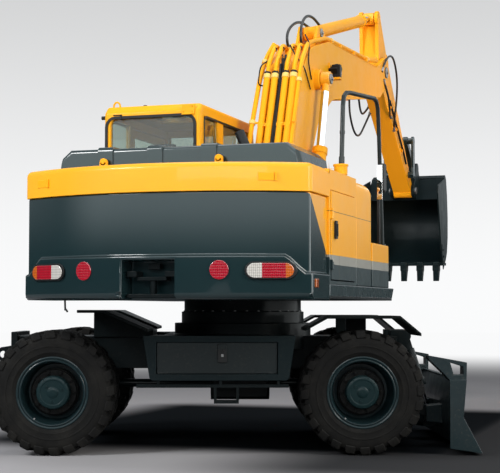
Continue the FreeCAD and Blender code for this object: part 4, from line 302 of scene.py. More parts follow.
body_holding = {
    node: body for body, held in frame["record"]["behaviour"]["bodies"].items() for node in held
}
wheels = {
    name.removesuffix("_spin"): joint
    for name, joint in joint_named.items() if name.endswith("_spin")
}
wheel_middles = [Vector(joint["pos_m"]) for joint in wheels.values()]
middle_of_wheels = sum(wheel_middles, Vector()) / len(wheels)


def show(name, made, finish, body, rounding=0.0, segments=2, crease=32, stands_for=()):
    """Turns a bmesh into a piece of the scene that rides on a body."""
    limit = math.radians(crease)
    for face in made.faces:
        face.smooth = True
    for edge in made.edges:
        edge.smooth = len(edge.link_faces) == 2 and edge.calc_face_angle(0) < limit
    mesh = bpy.data.meshes.new(name)
    made.to_mesh(mesh)
    made.free()
    for part in finish if isinstance(finish, (list, tuple)) else [finish]:
        mesh.materials.append(part)
    piece = bpy.data.objects.new(name, mesh)
    bpy.context.scene.collection.objects.link(piece)
    if rounding:
        soft = piece.modifiers.new("broken edges", "BEVEL")
        soft.width = rounding
        soft.segments = segments
        soft.limit_method = "ANGLE"
        soft.angle_limit = limit
        soft.use_clamp_overlap = False
        soft.harden_normals = True
    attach(piece, body)
    if stands_for:
        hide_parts(*stands_for)
    return piece


def on_hub(joint):
    """The matrix that takes a wheel built round the X axis, outside towards +X, to its axle."""
    at = Vector(joint["pos_m"])
    out = Vector(joint["axis"]).normalized()
    if out.dot(at - middle_of_wheels) < 0:
        out.negate()
    ahead = Vector((0, 0, 1)).cross(out)
    return Matrix.Translation(at) @ Matrix((out, ahead, (0, 0, 1))).transposed().to_4x4()


def turned(made, profile, steps=96):
    """Adds a closed profile of (place along the X axis, radius) spun round that axis."""
    corners = [made.verts.new((along, 0, radius)) for along, radius in profile]
    lines = [made.edges.new(pair) for pair in zip(corners, corners[1:] + corners[:1])]
    bmesh.ops.spin(
        made, geom=corners + lines, axis=(1, 0, 0), cent=(0, 0, 0), angle=2 * math.pi, steps=steps,
        use_merge=True,
    )
    bmesh.ops.remove_doubles(made, verts=made.verts, dist=0.00001)
    bmesh.ops.recalc_face_normals(made, faces=made.faces)
    return made


def bar_of(made, outline, low, high, normal="X"):
    """Adds an outline of two coordinates each, drawn out along the third axis, as a closed bar."""
    spots = {"X": lambda a, b: (low, a, b), "Y": lambda a, b: (a, low, b)}
    corners = [made.verts.new(spots[normal](a, b)) for a, b in outline]
    cap = made.faces.new(corners)
    grown = bmesh.ops.extrude_face_region(made, geom=[cap])["geom"]
    step = Vector([high - low if axis == normal else 0 for axis in "XYZ"])
    far = [part for part in grown if isinstance(part, bmesh.types.BMVert)]
    bmesh.ops.translate(made, verts=far, vec=step)
    bmesh.ops.recalc_face_normals(made, faces=made.faces)
    return made


def tyre_pair():
    """Two tyres either side of the wheel's disc."""
    half_carcass = [
        (0.095, 0.291), (0.112, 0.296), (0.121, 0.316), (0.1275, 0.336), (0.1295, 0.339),
        (0.1310, 0.346), (0.1300, 0.349), (0.1345, 0.380), (0.1345, 0.388), (0.1375, 0.392),
        (0.1375, 0.401), (0.1345, 0.405), (0.1330, 0.440), (0.1250, 0.474), (0.1080, 0.497),
        (0.060, 0.502),
    ]
    block_side = (
        (0.006, 0.495), (0.006, 0.531), (0.088, 0.533), (0.117, 0.524), (0.1325, 0.494),
        (0.1365, 0.463), (0.126, 0.458), (0.100, 0.488),
    )
    blocks_round, half_block, half_gap = 24, 0.043, 0.165
    sweep_back, tread_share = 0.30, 0.88
    pair = bmesh.new()
    turned(pair, half_carcass + [(-along, radius) for along, radius in reversed(half_carcass)])
    for side in (-1, 1):
        lug = bmesh.new()
        outline = [(side * along, radius) for along, radius in block_side]
        bar_of(lug, outline, -half_block, half_block, "Y")
        for corner in lug.verts:
            corner.co.y += sweep_back * (abs(corner.co.x) - 0.07)
            if corner.co.z > 0.5:
                corner.co.y *= tread_share
        bmesh.ops.bevel(
            lug, geom=[line for line in lug.edges if line.calc_face_angle(0) > 0.9], affect="EDGES",
            offset=0.006, segments=1, profile=0.5, material=-1,
        )
        quarter_pitch = Matrix.Rotation(math.radians(90 / blocks_round * side), 3, "X")
        bmesh.ops.rotate(lug, verts=lug.verts, cent=(0, 0, 0), matrix=quarter_pitch)
        bmesh.ops.spin(
            lug, geom=lug.verts[:] + lug.edges[:] + lug.faces[:], axis=(1, 0, 0), cent=(0, 0, 0),
            angle=2 * math.pi * (1 - 1 / blocks_round), steps=blocks_round - 1, use_duplicate=True,
        )
        bmesh.ops.recalc_face_normals(lug, faces=lug.faces)
        spare = bpy.data.meshes.new("lug")
        lug.to_mesh(spare)
        lug.free()
        pair.from_mesh(spare)
        bpy.data.meshes.remove(spare)
    twin = bmesh.ops.duplicate(pair, geom=pair.verts[:] + pair.edges[:] + pair.faces[:])["geom"]
    inner = {part for part in twin if isinstance(part, bmesh.types.BMVert)}
    for corner in pair.verts:
        corner.co.x += -half_gap if corner in inner else half_gap
    return pair


rubber = Finish("tyre_rubber")
dusting = rubber.noise(5.5, 5, 0.65).ramp(0.42, 0.72)
grain = rubber.noise(60, 4)
cured = rubber.blend(grain, (0.0034, 0.0034, 0.0034), (0.0062, 0.0060, 0.0058))
rubber.wear(
    Base_Color=rubber.blend(dusting * 0.45, cured, (0.019, 0.018, 0.016)),
    Roughness=grain.ramp(0.2, 0.8, 0.62, 0.85),
    Specular_IOR_Level=0.10,
    Normal=rubber.relief(rubber.noise(140, 3), 0.0003),
)
for label, joint in wheels.items():
    tyres = tyre_pair()
    bmesh.ops.transform(tyres, matrix=on_hub(joint), verts=tyres.verts)
    node = label.replace("wheel", "tyres")
    show(f"{label}_tyres", tyres, rubber.holder, body_holding[node], crease=28, stands_for=(node,))


# ------------------------------------------------------------------ rims and hubs
# Pressed steel rims in pairs with lock rings, bolted through one disc to the brake drum by ten
# studs round the planetary hub's cast cover. They are sprayed, as all the plate is, with gloss
# paint: a faint orange peel and thin dust break it, and the drum's paint is near black, as painted
# shade deep in the wheel's dish together with brake dust.

def gloss_paint(name, colour, deep, dust, coat, sheen, over=None):
    """Sprayed paint: cloudy by a hair, with orange peel under a clear coat."""
    orange_peel, dust_colour = 0.00006, (0.30, 0.26, 0.20)
    paint = Finish(name)
    clouds = paint.noise(1.3, 4).ramp(0.35, 0.65)
    film = paint.blend(clouds * 0.5, colour, deep)
    if over:
        film = over(paint, film)
    specks = paint.noise(38, 5, 0.7).ramp(0.52, 0.75)
    paint.wear(
        Base_Color=paint.blend(specks * dust, film, dust_colour),
        Roughness=paint.noise(6, 4).ramp(0.3, 0.7, 0.32, 0.44),
        Specular_IOR_Level=sheen,
        Coat_Weight=coat,
        Coat_Roughness=0.06,
        Normal=paint.relief(paint.noise(260, 2), orange_peel),
    )
    return paint.holder


def plain(name, colour, rough, metal=0.0, bump=0.0, scale=120, **more):
    """A simple finish with a fine grain in its colour and surface."""
    made = Finish(name)
    grain = made.noise(scale, 4)
    darker = tuple(part * 0.8 for part in colour)
    made.wear(
        Base_Color=made.blend(grain, darker, colour),
        Roughness=grain.ramp(0.2, 0.8, rough * 0.85, min(1, rough * 1.15)),
        Metallic=metal,
        **more,
    )
    if bump:
        made.wear(Normal=made.relief(made.noise(scale * 2, 3), bump))
    return made.holder


def hexagon(made, radius, low, high, at, steps=6):
    """Adds a nut or a pin whose axis lies along X, at a (Y, Z) place."""
    bmesh.ops.create_cone(
        made, cap_ends=True, segments=steps, radius1=radius, radius2=radius, depth=high - low,
        matrix=Matrix.Translation(((low + high) / 2, *at)) @ Matrix.Rotation(math.pi / 2, 4, "Y"),
    )


def round_about(count, radius, start=0.0):
    """Places spread evenly round the X axis."""
    for number in range(count):
        angle = start + 2 * math.pi * number / count
        yield radius * math.cos(angle), radius * math.sin(angle)


rim_half = [
    (0.262, 0.2885), (0.270, 0.292), (0.2735, 0.302), (0.280, 0.3085), (0.2875, 0.3075),
    (0.2895, 0.300), (0.286, 0.2895), (0.279, 0.2860), (0.279, 0.2830), (0.2865, 0.2815),
    (0.2890, 0.2765), (0.2880, 0.2700), (0.281, 0.2650), (0.255, 0.2600), (0.180, 0.2520),
    (0.040, 0.2480),
]
inner_flange = [(-along, radius) for along, radius in reversed(rim_half[:12])]
wheel_disc = [(0.016, 0.236), (0.012, 0.150), (-0.012, 0.150), (-0.012, 0.262)]
drum_profile = [
    (0.010, 0.120), (0.010, 0.203), (0.124, 0.205), (0.130, 0.201), (0.130, 0.196), (0.140, 0.196),
    (0.150, 0.190), (0.150, 0.120),
]
hub_profile = [
    (-0.105, 0.062), (-0.105, 0.140), (0.168, 0.143), (0.172, 0.139), (0.178, 0.139),
    (0.182, 0.142), (0.244, 0.142), (0.2555, 0.136), (0.2600, 0.126), (0.2600, 0.108),
    (0.2570, 0.104), (0.2570, 0.050), (0.2600, 0.046), (0.2625, 0.020), (0.2625, 0.0005),
    (0.220, 0.0005), (0.030, 0.062),
]
# The drum's paint is near black: painted shade for the deep dish of the wheel, with brake dust.
shade_darkened_drum_paint, rim_paint, hub_paint = (
    gloss_paint(name + "_paint", colour, deep, *looks) for name, colour, deep, *looks in (
        ("drum", (0.0028, 0.0034, 0.0037), (0.0044, 0.0041, 0.0038), 0.08, 0.05, 0.06),
        ("rim", (0.0085, 0.0200, 0.0235), (0.0062, 0.0145, 0.0170), 0.04, 0.18, 0.08),
        ("hub", (0.0080, 0.0215, 0.0240), (0.0060, 0.0160, 0.0180), 0.02, 0.08, 0.05),
    )
)
steel = plain("worn_steel", (0.20, 0.20, 0.20), 0.45, 0.8, bump=0.0002)
for label, joint in wheels.items():
    lie = on_hub(joint)
    node = label.replace("wheel", "rims")
    rim = turned(bmesh.new(), rim_half + wheel_disc + inner_flange)
    hub = turned(bmesh.new(), hub_profile, 64)
    for at in round_about(3, 0.078, 0.35):
        hexagon(hub, 0.013, 0.2565, 0.2650, at)
    for at in round_about(12, 0.128, 0.12):
        hexagon(hub, 0.0065, 0.244, 0.2615, at)
    drum = turned(bmesh.new(), drum_profile, 64)
    for at in round_about(10, 0.170):
        for radius, top, steps in ((0.0185, 0.172, 6), (0.010, 0.186, 10), (0.024, 0.153, 16)):
            hexagon(drum, radius, 0.149, top, at, steps)
    valve = bmesh.new()
    for radius, low, high in ((0.0055, 0.250, 0.2935), (0.0075, 0.286, 0.2960)):
        hexagon(valve, radius, low, high, (-0.150, -0.218), 10)
    for made in (rim, hub, drum, valve):
        bmesh.ops.transform(made, matrix=lie, verts=made.verts)
    body = body_holding[node]
    show(f"{label}_rims", rim, rim_paint, body, stands_for=(node,))
    show(f"{label}_hub", hub, hub_paint, body, 0.0015)
    show(f"{label}_drum", drum, shade_darkened_drum_paint, body, 0.0015)
    show(f"{label}_valve", valve, steel, body)


# ------------------------------------------------------------------ counterweight
# One heavy casting in slate gloss paint, bolted under the platform's tail. A pocket in the middle
# of its foot holds a cast drawbar seat, and a thin pull rod hangs below its left half.

def block(made, low, high, at=(0, 0, 0)):
    """Adds a box between two corners, counted from a point."""
    low, high = Vector(at) + Vector(low), Vector(at) + Vector(high)
    place = Matrix.Translation((low + high) / 2) @ Matrix.Diagonal((*(high - low), 1))
    return bmesh.ops.create_cube(made, size=1, matrix=place)["verts"]


def laid_block(made, low, high, lie):
    """Adds a box between two corners, laid in its place by a matrix."""
    bmesh.ops.transform(made, matrix=lie, verts=block(made, low, high))


def rod(made, start, end, radius, steps=16):
    """Adds a round bar between two points."""
    start, end = Vector(start), Vector(end)
    lie = (end - start).to_track_quat("Z", "Y").to_matrix().to_4x4()
    bmesh.ops.create_cone(
        made, cap_ends=True, segments=steps, radius1=radius, radius2=radius,
        depth=(end - start).length, matrix=Matrix.Translation((start + end) / 2) @ lie,
    )


def bolt(made, at, way, radius):
    """Adds a hexagon head on its washer, standing on a face that looks one way."""
    at, way = Vector(at), Vector(way).normalized()
    washer = radius * 0.22
    rod(made, at - way * 0.001, at + way * washer, radius * 1.35, 16)
    rod(made, at, at + way * (washer + radius * 0.75), radius, 6)


tail_radius = 2.36
amber_yellow, pale_stripe = (0.92, 0.420, 0.014), (0.30, 0.30, 0.27)
teal, deep_teal = (0.0090, 0.0235, 0.0265), (0.0075, 0.0195, 0.0225)
stripe_foot, stripe_top = 1.612, 1.690
slant_y, slant_z = -4.496, 2.152


def ahead_of_slant(paint):
    """1 ahead of the slanted line that cuts the slate off towards the tail."""
    y, z = paint.along("Y") - slant_y, paint.along("Z") - slant_z
    return (y * 0.68 + z * 0.73).above(0)


def weight_corner(paint, film):
    """The casting's right flank is yellow ahead of the slanted line, as the panels beside it."""
    z = paint.along("Z")
    flank = ahead_of_slant(paint) * paint.along("X").above(1.2)
    lower = paint.blend(z.above(stripe_foot), film, pale_stripe)
    return paint.blend(flank, film, paint.blend(z.above(stripe_top), lower, amber_yellow))


weight_paint = gloss_paint("weight_paint", teal, deep_teal, 0.0, 0.9, 0.02, over=weight_corner)


def tail_face(x, z, proud=0.0):
    """A point on the tail's round back."""
    radius = tail_radius + proud
    return Vector((slew_axis.x + x, slew_axis.y - math.sqrt(radius * radius - x * x), z))


def tail_way(x):
    """The way that the tail's round back looks there."""
    return Vector((x, -math.sqrt(tail_radius ** 2 - x * x), 0)).normalized()


def merged(name):
    """A node's mesh as a bmesh with its seams joined and its flats in one face each."""
    made = bmesh.new()
    made.from_mesh(frame["nodes"][name].data)
    bmesh.ops.remove_doubles(made, verts=made.verts, dist=0.00005)
    flat = math.radians(0.6)
    bmesh.ops.dissolve_limit(made, angle_limit=flat, verts=made.verts, edges=made.edges)
    return made


def dressed(name, finish, rounding=0.004, segments=2):
    """A node's own form with rounded arrises and a finish."""
    return show(
        name + "_finished", merged(name), finish, body_holding[name], rounding, segments,
        stands_for=(name,),
    )


dressed("counterweight", weight_paint, 0.014, 3)
slate_frame = gloss_paint(
    "chassis_paint", (0.0034, 0.0060, 0.0068), (0.0026, 0.0046, 0.0052), 0.03, 0.06, 0.06,
)
drawbar = bmesh.new()
pocket_back = slew_axis + Vector((0, -tail_radius + 0.225, -slew_axis.z))
for low, high in (
    ((-0.205, -0.150, 1.335), (0.205, -0.02, 1.365)),
    ((-0.205, -0.150, 1.500), (-0.120, -0.02, 1.545)),
    ((0.120, -0.150, 1.500), (0.205, -0.02, 1.545)),
    ((-0.125, -0.125, 1.470), (0.125, -0.02, 1.500)),
    ((-0.050, -0.075, 1.560), (0.050, -0.02, 1.605)),
):
    block(drawbar, low, high, pocket_back)
pin_foot, pin_head = (pocket_back + Vector((0, -0.085, z)) for z in (1.345, 1.475))
rod(drawbar, pin_foot, pin_head, 0.028)
show("drawbar_seat", drawbar, slate_frame, "upper", 0.004)
bare_black = plain(
    "black_plastic", (0.0045, 0.0048, 0.0052), 0.5, bump=0.0001, Specular_IOR_Level=0.20,
)
pull_rod = bmesh.new()
for (x0, z0), (x1, z1) in (((-0.83, 1.34), (-0.825, 1.235)), ((-0.825, 1.25), (-0.80, 1.225))):
    rod(pull_rod, tail_face(x0, z0, -0.10), tail_face(x1, z1, -0.10), 0.008, 10)
show("pull_rod", pull_rod, bare_black, "upper")


# ------------------------------------------------------------------ tail lamps
# Moulded lamps with round ends, screwed to the casting: a black housing with a clear, a red and
# an amber lens side by side, ribbed inside. Round red reflectors are glued on further in.

def lens_finish(name, colour):
    """Moulded lens: prisms inside show as fine upright ribs."""
    lens = Finish(name)
    ribs = (lens.along("X") * 420).wave().ramp(-1, 1)
    cells = (lens.along("Z") * 300).wave().ramp(-1, 1)
    darker = tuple(part * 0.55 for part in colour)
    lens.wear(
        Base_Color=lens.blend(ribs * 0.6 + cells * 0.4, darker, colour),
        Normal=lens.relief(ribs * 0.7 + cells * 0.3, 0.0006),
        Roughness=0.10,
        Coat_Weight=0.9,
        Coat_Roughness=0.03,
    )
    return lens.holder


def pill(made, middle, half, rise, proud, thick):
    """Adds a plate with round ends that follows the tail's curve."""
    arc_steps, cuts = 12, 12
    corners = []
    for side in (1, -1):
        for step in range(arc_steps + 1):
            angle = math.pi * (step / arc_steps - 0.5)
            x, z = side * (half + rise * math.cos(angle)), side * rise * math.sin(angle)
            corners.append(made.verts.new((middle + x, 0, lamp_z + z)))
    made.faces.new(corners)
    for cut in range(1, cuts):
        at = middle - half - rise + cut * (half + rise) * 2 / cuts
        whole = made.verts[:] + made.edges[:] + made.faces[:]
        bmesh.ops.bisect_plane(made, geom=whole, plane_co=(at, 0, 0), plane_no=(1, 0, 0))
    grown = bmesh.ops.extrude_face_region(made, geom=made.faces[:])["geom"]
    outer = {part for part in grown if isinstance(part, bmesh.types.BMVert)}
    for corner in made.verts:
        corner.co = tail_face(corner.co.x, corner.co.z, proud + (thick if corner in outer else 0))
    bmesh.ops.recalc_face_normals(made, faces=made.faces)
    return made


lamp_x, lamp_z, reflector_x = 0.955, 1.545, 0.573
clear_ends, red_begins = 0.104, -0.070
amber = lens_finish("amber_lens", (0.62, 0.13, 0.010))
red = lens_finish("red_lens", (0.44, 0.006, 0.022))
clear = lens_finish("clear_lens", (0.62, 0.60, 0.56))
for side, label in ((-1, "left"), (1, "right")):
    bezel = pill(bmesh.new(), side * lamp_x, 0.118, 0.070, 0.0005, 0.020)
    show(
        f"tail_lamp_{label}_bezel", bezel, bare_black, "upper", 0.006, 3,
        stands_for=("tail_lamps",) if side > 0 else (),
    )
    lens = pill(bmesh.new(), side * lamp_x, 0.112, 0.057, 0.018, 0.013)
    for face in lens.faces:
        outward = (face.calc_center_median().x - slew_axis.x) * side - lamp_x
        face.material_index = 2 if outward > clear_ends else (0 if outward > red_begins else 1)
    show(f"tail_lamp_{label}_lens", lens, (red, clear, amber), "upper", 0.005, 3)
    disc = bmesh.new()
    at = tail_face(side * reflector_x, 1.550, 0.0005)
    rod(disc, at, at + tail_way(side * reflector_x) * 0.010, 0.075, 48)
    show(f"round_reflector_{label}", disc, red, "upper", 0.004, 3)
marker = bmesh.new()
for side in (-1, 1):
    at = (slew_axis.x + side * 1.246, slew_axis.y - 1.895, 1.450)
    block(marker, (-0.010, -0.035, -0.035), (0.010, 0.035, 0.035), at)
show("side_markers", marker, amber, "upper", 0.006, 3)


# ------------------------------------------------------------------ engine bay
# A band of folded yellow steel closes the tail above the casting, and the side panels carry slate
# under a pale stripe. Lifting eyes, hinge plates for the hood and small catches are fixed to it.

band_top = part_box("engine_bay")[1][2]


def on_band(x, behind, up=0.0):
    """A point over the band: to the side of the slewing axis, behind it, and above the band."""
    return Vector((slew_axis.x + x, slew_axis.y - behind, band_top + up))


def side_bands(paint, film):
    """The side's livery: slate under a pale stripe, and the dark joints between its panels."""
    y, z, ahead = paint.along("Y"), paint.along("Z"), ahead_of_slant(paint)
    upper = (ahead * z.above(stripe_top)).most(z.above(slant_z))
    lower = paint.blend(ahead * z.above(stripe_foot), deep_teal, pale_stripe)
    level_joint = (z - level_joint_z).size().below(0.0025) * ahead
    upright_joint = (y - upright_joint_y).size().below(0.003) * z.below(stripe_top)
    joints = level_joint.most(upright_joint)
    return paint.blend(joints, paint.blend(upper, lower, film), open_joint)


deep_yellow, open_joint = (0.88, 0.385, 0.011), (0.05, 0.03, 0.01)
level_joint_z, upright_joint_y = 2.050, -3.690
yellow = gloss_paint("yellow_paint", amber_yellow, deep_yellow, 0.04, 0.04, 0.08)
livery = gloss_paint("side_livery", amber_yellow, deep_yellow, 0.04, 0.20, 0.15, over=side_bands)
dressed("engine_bay", livery, 0.004, 2)
fittings = bmesh.new()
for x in (-0.655, 0.375):
    foot = on_band(x, 1.735, -0.002)
    block(fittings, (-0.032, -0.020, 0), (0.032, 0.020, 0.085), foot)
    for near, far, up, radius, steps in (
        (-0.020, 0.020, 0.085, 0.032, 24), (-0.026, -0.018, 0.080, 0.014, 16),
    ):
        rod(fittings, foot + Vector((0, near, up)), foot + Vector((0, far, up)), radius, steps)
for x in (-0.150, 0.085):
    foot = on_band(x, 1.76, -0.002)
    block(fittings, (-0.085, -0.050, 0), (0.085, 0.045, 0.014), foot)
    left, right = (foot + Vector((side * 0.085, 0.040, 0.020)) for side in (-1, 1))
    rod(fittings, left, right, 0.013)
    for side in (-1, 1):
        bolt(fittings, foot + Vector((side * 0.05, -0.020, 0.014)), (0, 0, 1), 0.009)
show("band_fittings", fittings, yellow, "upper", 0.004)
catches = bmesh.new()
for x in (-1.03, 0.92):
    way = tail_way(x)
    across = way.cross(Vector((0, 0, 1)))
    turn = Matrix((-across, -way, (0, 0, 1))).transposed().to_4x4()
    for shift, half, rise, thick in ((0.0, 0.062, 0.030, 0.004), (0.075, 0.010, 0.034, 0.012)):
        lie = Matrix.Translation(tail_face(x, band_top - 0.125, 0.001) - across * shift) @ turn
        laid_block(catches, (-half, -thick, -rise), (half, 0.004, rise), lie)
show("service_catches", catches, yellow, "upper", 0.002)


# ------------------------------------------------------------------ engine hood
# A dark moulded hood over the engine with three raised straps, hinged at its front edge on rubber
# blocks. Louvres are let into its right-hand end.

slate = gloss_paint("slate_paint", teal, deep_teal, 0.015, 0.9, 0.08)
dressed("engine_hood", slate, 0)
hood_low, hood_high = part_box("engine_hood")
louvres = bmesh.new()
slope = Matrix.Rotation(math.radians(-35), 4, "Y")
for step in range(7):
    y = hood_low[1] + 0.16 + step * 0.115
    for up in (0.055, 0.085, 0.115):
        at = (hood_high[0] - 0.010 - up * 0.22, 0, hood_low[2] + up + 0.012)
        lie = Matrix.Translation(at) @ slope
        laid_block(louvres, (-0.004, y, -0.006), (0.010, y + 0.085, 0.006), lie)
show("hood_louvres", louvres, bare_black, "engine_hood", 0.001)


# ------------------------------------------------------------------ boom
# A one-piece boom welded from plate as a box, bent over the cab's height. Steel pipes run up its
# back in pairs under collars and saddles, and on along its top to the nose.

boom_foot = Vector(joint_named["boom_lift"]["pos_m"])
arm_pin = Vector(joint_named["arm_swing"]["pos_m"])
boom_way = (arm_pin - boom_foot).normalized()
boom_up = Vector((1, 0, 0)).cross(boom_way)


def on_boom(across, along, above):
    """A point on the boom: across it, along the line of its pins, and above that line."""
    return boom_foot + Vector((across, 0, 0)) + along * boom_way + above * boom_up


back_run = Vector((0, 1.50, 1.25))


def on_back(across, share, proud=0.055):
    """A point off the boom's back, a share of the way from its foot to its bend."""
    off = Vector((0, -back_run.z, back_run.y)).normalized() * proud
    return on_boom(across, -0.13 + back_run.y * share + off.y, 0.06 + back_run.z * share + off.z)


def eased(points, radius):
    """A line of points with each corner rounded off."""
    line = [points[0]]
    for before, corner, after in zip(points, points[1:], points[2:]):
        back, ahead = (before - corner), (after - corner)
        reach = min(radius, back.length * 0.45, ahead.length * 0.45)
        start, end = corner + back.normalized() * reach, corner + ahead.normalized() * reach
        for step in range(7):
            share = step / 6
            sides = start * (1 - share) ** 2 + end * share ** 2
            line.append(sides + corner * 2 * share * (1 - share))
    return line + [points[-1]]


def pipe(name, points, radius, finish, body, bend=0.12, stands_for=(), sides=10):
    """A bent steel pipe, swept along its eased line."""
    line = eased([Vector(point) for point in points], bend)
    made = bmesh.new()
    previous = None
    across = Vector((1, 0.003, 0.002))
    for place, at in enumerate(line):
        way = (line[min(place + 1, len(line) - 1)] - line[max(place - 1, 0)]).normalized()
        across = (across - way * across.dot(way)).normalized()
        turn = Matrix((across, way.cross(across), way)).transposed().to_4x4()
        ring = bmesh.ops.create_circle(
            made, segments=sides, radius=radius, matrix=Matrix.Translation(at) @ turn,
        )["verts"]
        rim = list(dict.fromkeys(edge for corner in ring for edge in corner.link_edges))
        if previous:
            bmesh.ops.bridge_loops(made, edges=previous + rim)
        previous = rim
    bmesh.ops.holes_fill(made, edges=made.edges, sides=sides)
    bmesh.ops.recalc_face_normals(made, faces=made.faces)
    return show(name, made, finish, body, crease=50, stands_for=stands_for)


def boom_slope(along, above):
    """The turn about X that lays a piece along a line on the boom."""
    pins_rise = math.radians(28.5)
    return Matrix.Rotation(math.atan2(above, along) + pins_rise, 4, "X")


dressed("boom", yellow, 0.007)
pale_fitting = plain("pale_yellow_fitting", (0.86, 0.60, 0.16), 0.45)
pairs = ((-0.158, -0.076), (0.036, 0.118))
pipes_start, pipes_end = 0.06, 0.950
for number, across in enumerate(pairs[0] + pairs[1]):
    pipe(
        f"boom_pipe_{number}", (on_back(across, pipes_start), on_back(across, pipes_end)), 0.033,
        yellow, "boom", stands_for=("boom_pipes",) if number == 0 else (), sides=20,
    )
for label, radius, line in (
    ("left", 0.024, (
        (-0.247, 0.06, 0.37), (-0.247, 0.835, 0.958), (-0.240, 1.30, 1.29), (-0.215, 1.55, 1.420),
        (-0.160, 1.66, 1.500),
    )),
    ("right", 0.024, (
        (0.168, 0.16, 0.35), (0.168, 0.85, 0.925), (0.168, 1.40, 1.365), (0.168, 1.74, 1.465),
        (0.155, 2.00, 1.400), (0.140, 2.56, 1.255), (0.140, 4.42, 0.380), (0.160, 4.72, 0.270),
    )),
    ("top", 0.022, (
        (0.118, 2.12, 1.365), (0.116, 2.52, 1.258), (0.080, 4.44, 0.378), (0.160, 4.70, 0.320),
    )),
):
    pipe(f"boom_pipe_{label}", [on_boom(*at) for at in line], radius, yellow, "boom", sides=16)
saddles = bmesh.new()
collars = bmesh.new()
caps = bmesh.new()
back_face = on_back(0, 0, 1) - on_back(0, 0, 0)
for pair in pairs:
    middle = sum(pair) / 2
    for share in (0.30, 0.66):
        lie = Matrix.Translation(on_back(middle, share, 0.052)) @ boom_slope(back_run.y, back_run.z)
        laid_block(saddles, (-0.072, -0.018, -0.046), (0.072, 0.018, 0.030), lie)
        bolt(saddles, on_back(middle, share, 0.082), back_face, 0.009)
    for across in pair:
        for low, high in ((0.935, 0.960), (0.050, 0.075)):
            rod(collars, on_back(across, low), on_back(across, high), 0.039, 20)
        rod(caps, on_back(across, 0.960), on_back(across, 0.974), 0.036, 6)
        pipe(f"boom_elbow_{round(1000 * abs(across))}", (
            on_back(across, 0.96), on_back(across, 1.02, 0.060),
            on_boom(across * 0.95, 1.66, 1.490), on_boom(across * 0.9, 1.78, 1.390),
        ), 0.023, yellow, "boom", sides=12)
        nut, nut_end = on_boom(across * 0.96, 1.590, 1.455), on_boom(across * 0.96, 1.615, 1.466)
        rod(caps, nut, nut_end, 0.029, 8)
cables = (
    (0.004, (0.02, 0.020), (0.40, 0.045), (0.70, 0.020), (0.98, 0.060), (1.08, 0.030)),
    (-0.028, (0.02, 0.020), (0.30, 0.030), (0.62, 0.050), (0.90, 0.030), (1.02, 0.060)),
    (-0.012, (0.02, 0.050), (0.36, 0.020), (0.80, 0.055), (1.00, 0.030), (1.05, 0.070)),
)
for number, (across, *line) in enumerate(cables):
    route = [on_back(across, *at) for at in line]
    pipe(f"boom_cable_{number}", route, 0.015, bare_black, "boom", sides=8)
leads = (
    ((-0.165, 1.45, 1.40), (-0.225, 1.30, 1.40), (-0.235, 1.16, 1.24), (-0.180, 1.22, 1.20)),
    ((-0.040, 1.50, 1.43), (-0.010, 1.40, 1.43), (0.030, 1.20, 1.26), (0.010, 1.12, 1.10)),
    ((0.120, 1.86, 1.52), (0.190, 1.74, 1.46), (0.200, 1.56, 1.33), (0.197, 1.60, 1.12)),
    ((0.020, 1.60, 1.50), (0.120, 1.44, 1.42), (0.197, 1.42, 1.30), (0.200, 1.50, 1.05)),
)
for number, line in enumerate(leads):
    route = [on_boom(*at) for at in line]
    pipe(f"boom_lead_{number}", route, 0.007, bare_black, "boom", 0.10, sides=8)
up_back, along_top = (0.55, 0.44), (1.86, -0.875)
for at, (along, above) in (
    ((-0.247, 0.835, 0.958), (0.465, 0.332)), ((-0.225, 1.46, 1.374), (0.25, 0.13)),
    ((0.168, 1.245, 1.241), up_back), ((0.168, 0.55, 0.675), up_back),
    ((0.140, 2.75, 1.165), along_top), ((0.140, 4.30, 0.436), along_top),
):
    at, half = on_boom(*at), (along * boom_way + above * boom_up).normalized() * 0.020
    rod(collars, at - half, at + half, 0.033, 20)
for along, above in ((3.05, 0.995), (3.62, 0.730), (4.20, 0.460)):
    at = on_boom(0.107, along, above)
    lie = Matrix.Translation(at) @ boom_slope(*along_top)
    laid_block(saddles, (-0.070, -0.024, -0.045), (0.070, 0.024, 0.030), lie)
    bolt(saddles, at + Vector((0, 0.01, 0.030)), (0, 0.2, 1), 0.010)
for side, reach in ((-1, -0.050), (1, -0.020)):
    stay = on_boom(side * 0.185, 0.835, 0.955)
    rod(saddles, stay, stay + Vector((reach, 0, 0)), 0.012, 12)
show("pipe_saddles", saddles, yellow, "boom", 0.004)
show("pipe_collars", collars, pale_fitting, "boom", 0.003)
show("pipe_caps", caps, bare_black, "boom", 0.002)
welds = bmesh.new()
pins = bmesh.new()
side_plate_x, pin_sunk, pin_proud = 0.184, 0.030, 0.012
for side in (-1, 1):
    for start, end in (
        ((0.15, -0.13), (1.67, 0.63)), ((2.45, 0.595), (4.45, -0.13)), ((2.60, 1.19), (4.55, 0.25)),
    ):
        x = side * side_plate_x
        rod(welds, on_boom(x, *start), on_boom(x, *end), 0.006, 8)
    for at, reach, radius in (
        (boom_foot, 0.222, 0.062), (arm_pin, 0.192, 0.070),
        (on_boom(0, 1.790, 1.050), 0.348, 0.052), (on_boom(0, 2.500, 1.335), 0.114, 0.050),
    ):
        head = at + Vector((side * (reach + pin_proud), 0, 0))
        rod(pins, at + Vector((side * (reach - pin_sunk), 0, 0)), head, radius, 32)
        bolt(pins, head, (side, 0, 0), 0.016)
show("boom_welds", welds, yellow, "boom")
show("boom_pins", pins, steel, "boom", 0.003)


# ------------------------------------------------------------------ hoses
# Wire-braided rubber hoses with a smooth black cover carry the oil over the joints, from swaged
# steel ends on the pipes to those on the cylinders. They hang in loops long enough for the travel.

hose_rubber = plain(
    "hose_rubber", (0.0075, 0.0080, 0.0090), 0.42, bump=0.0002, scale=90, Specular_IOR_Level=0.35,
)


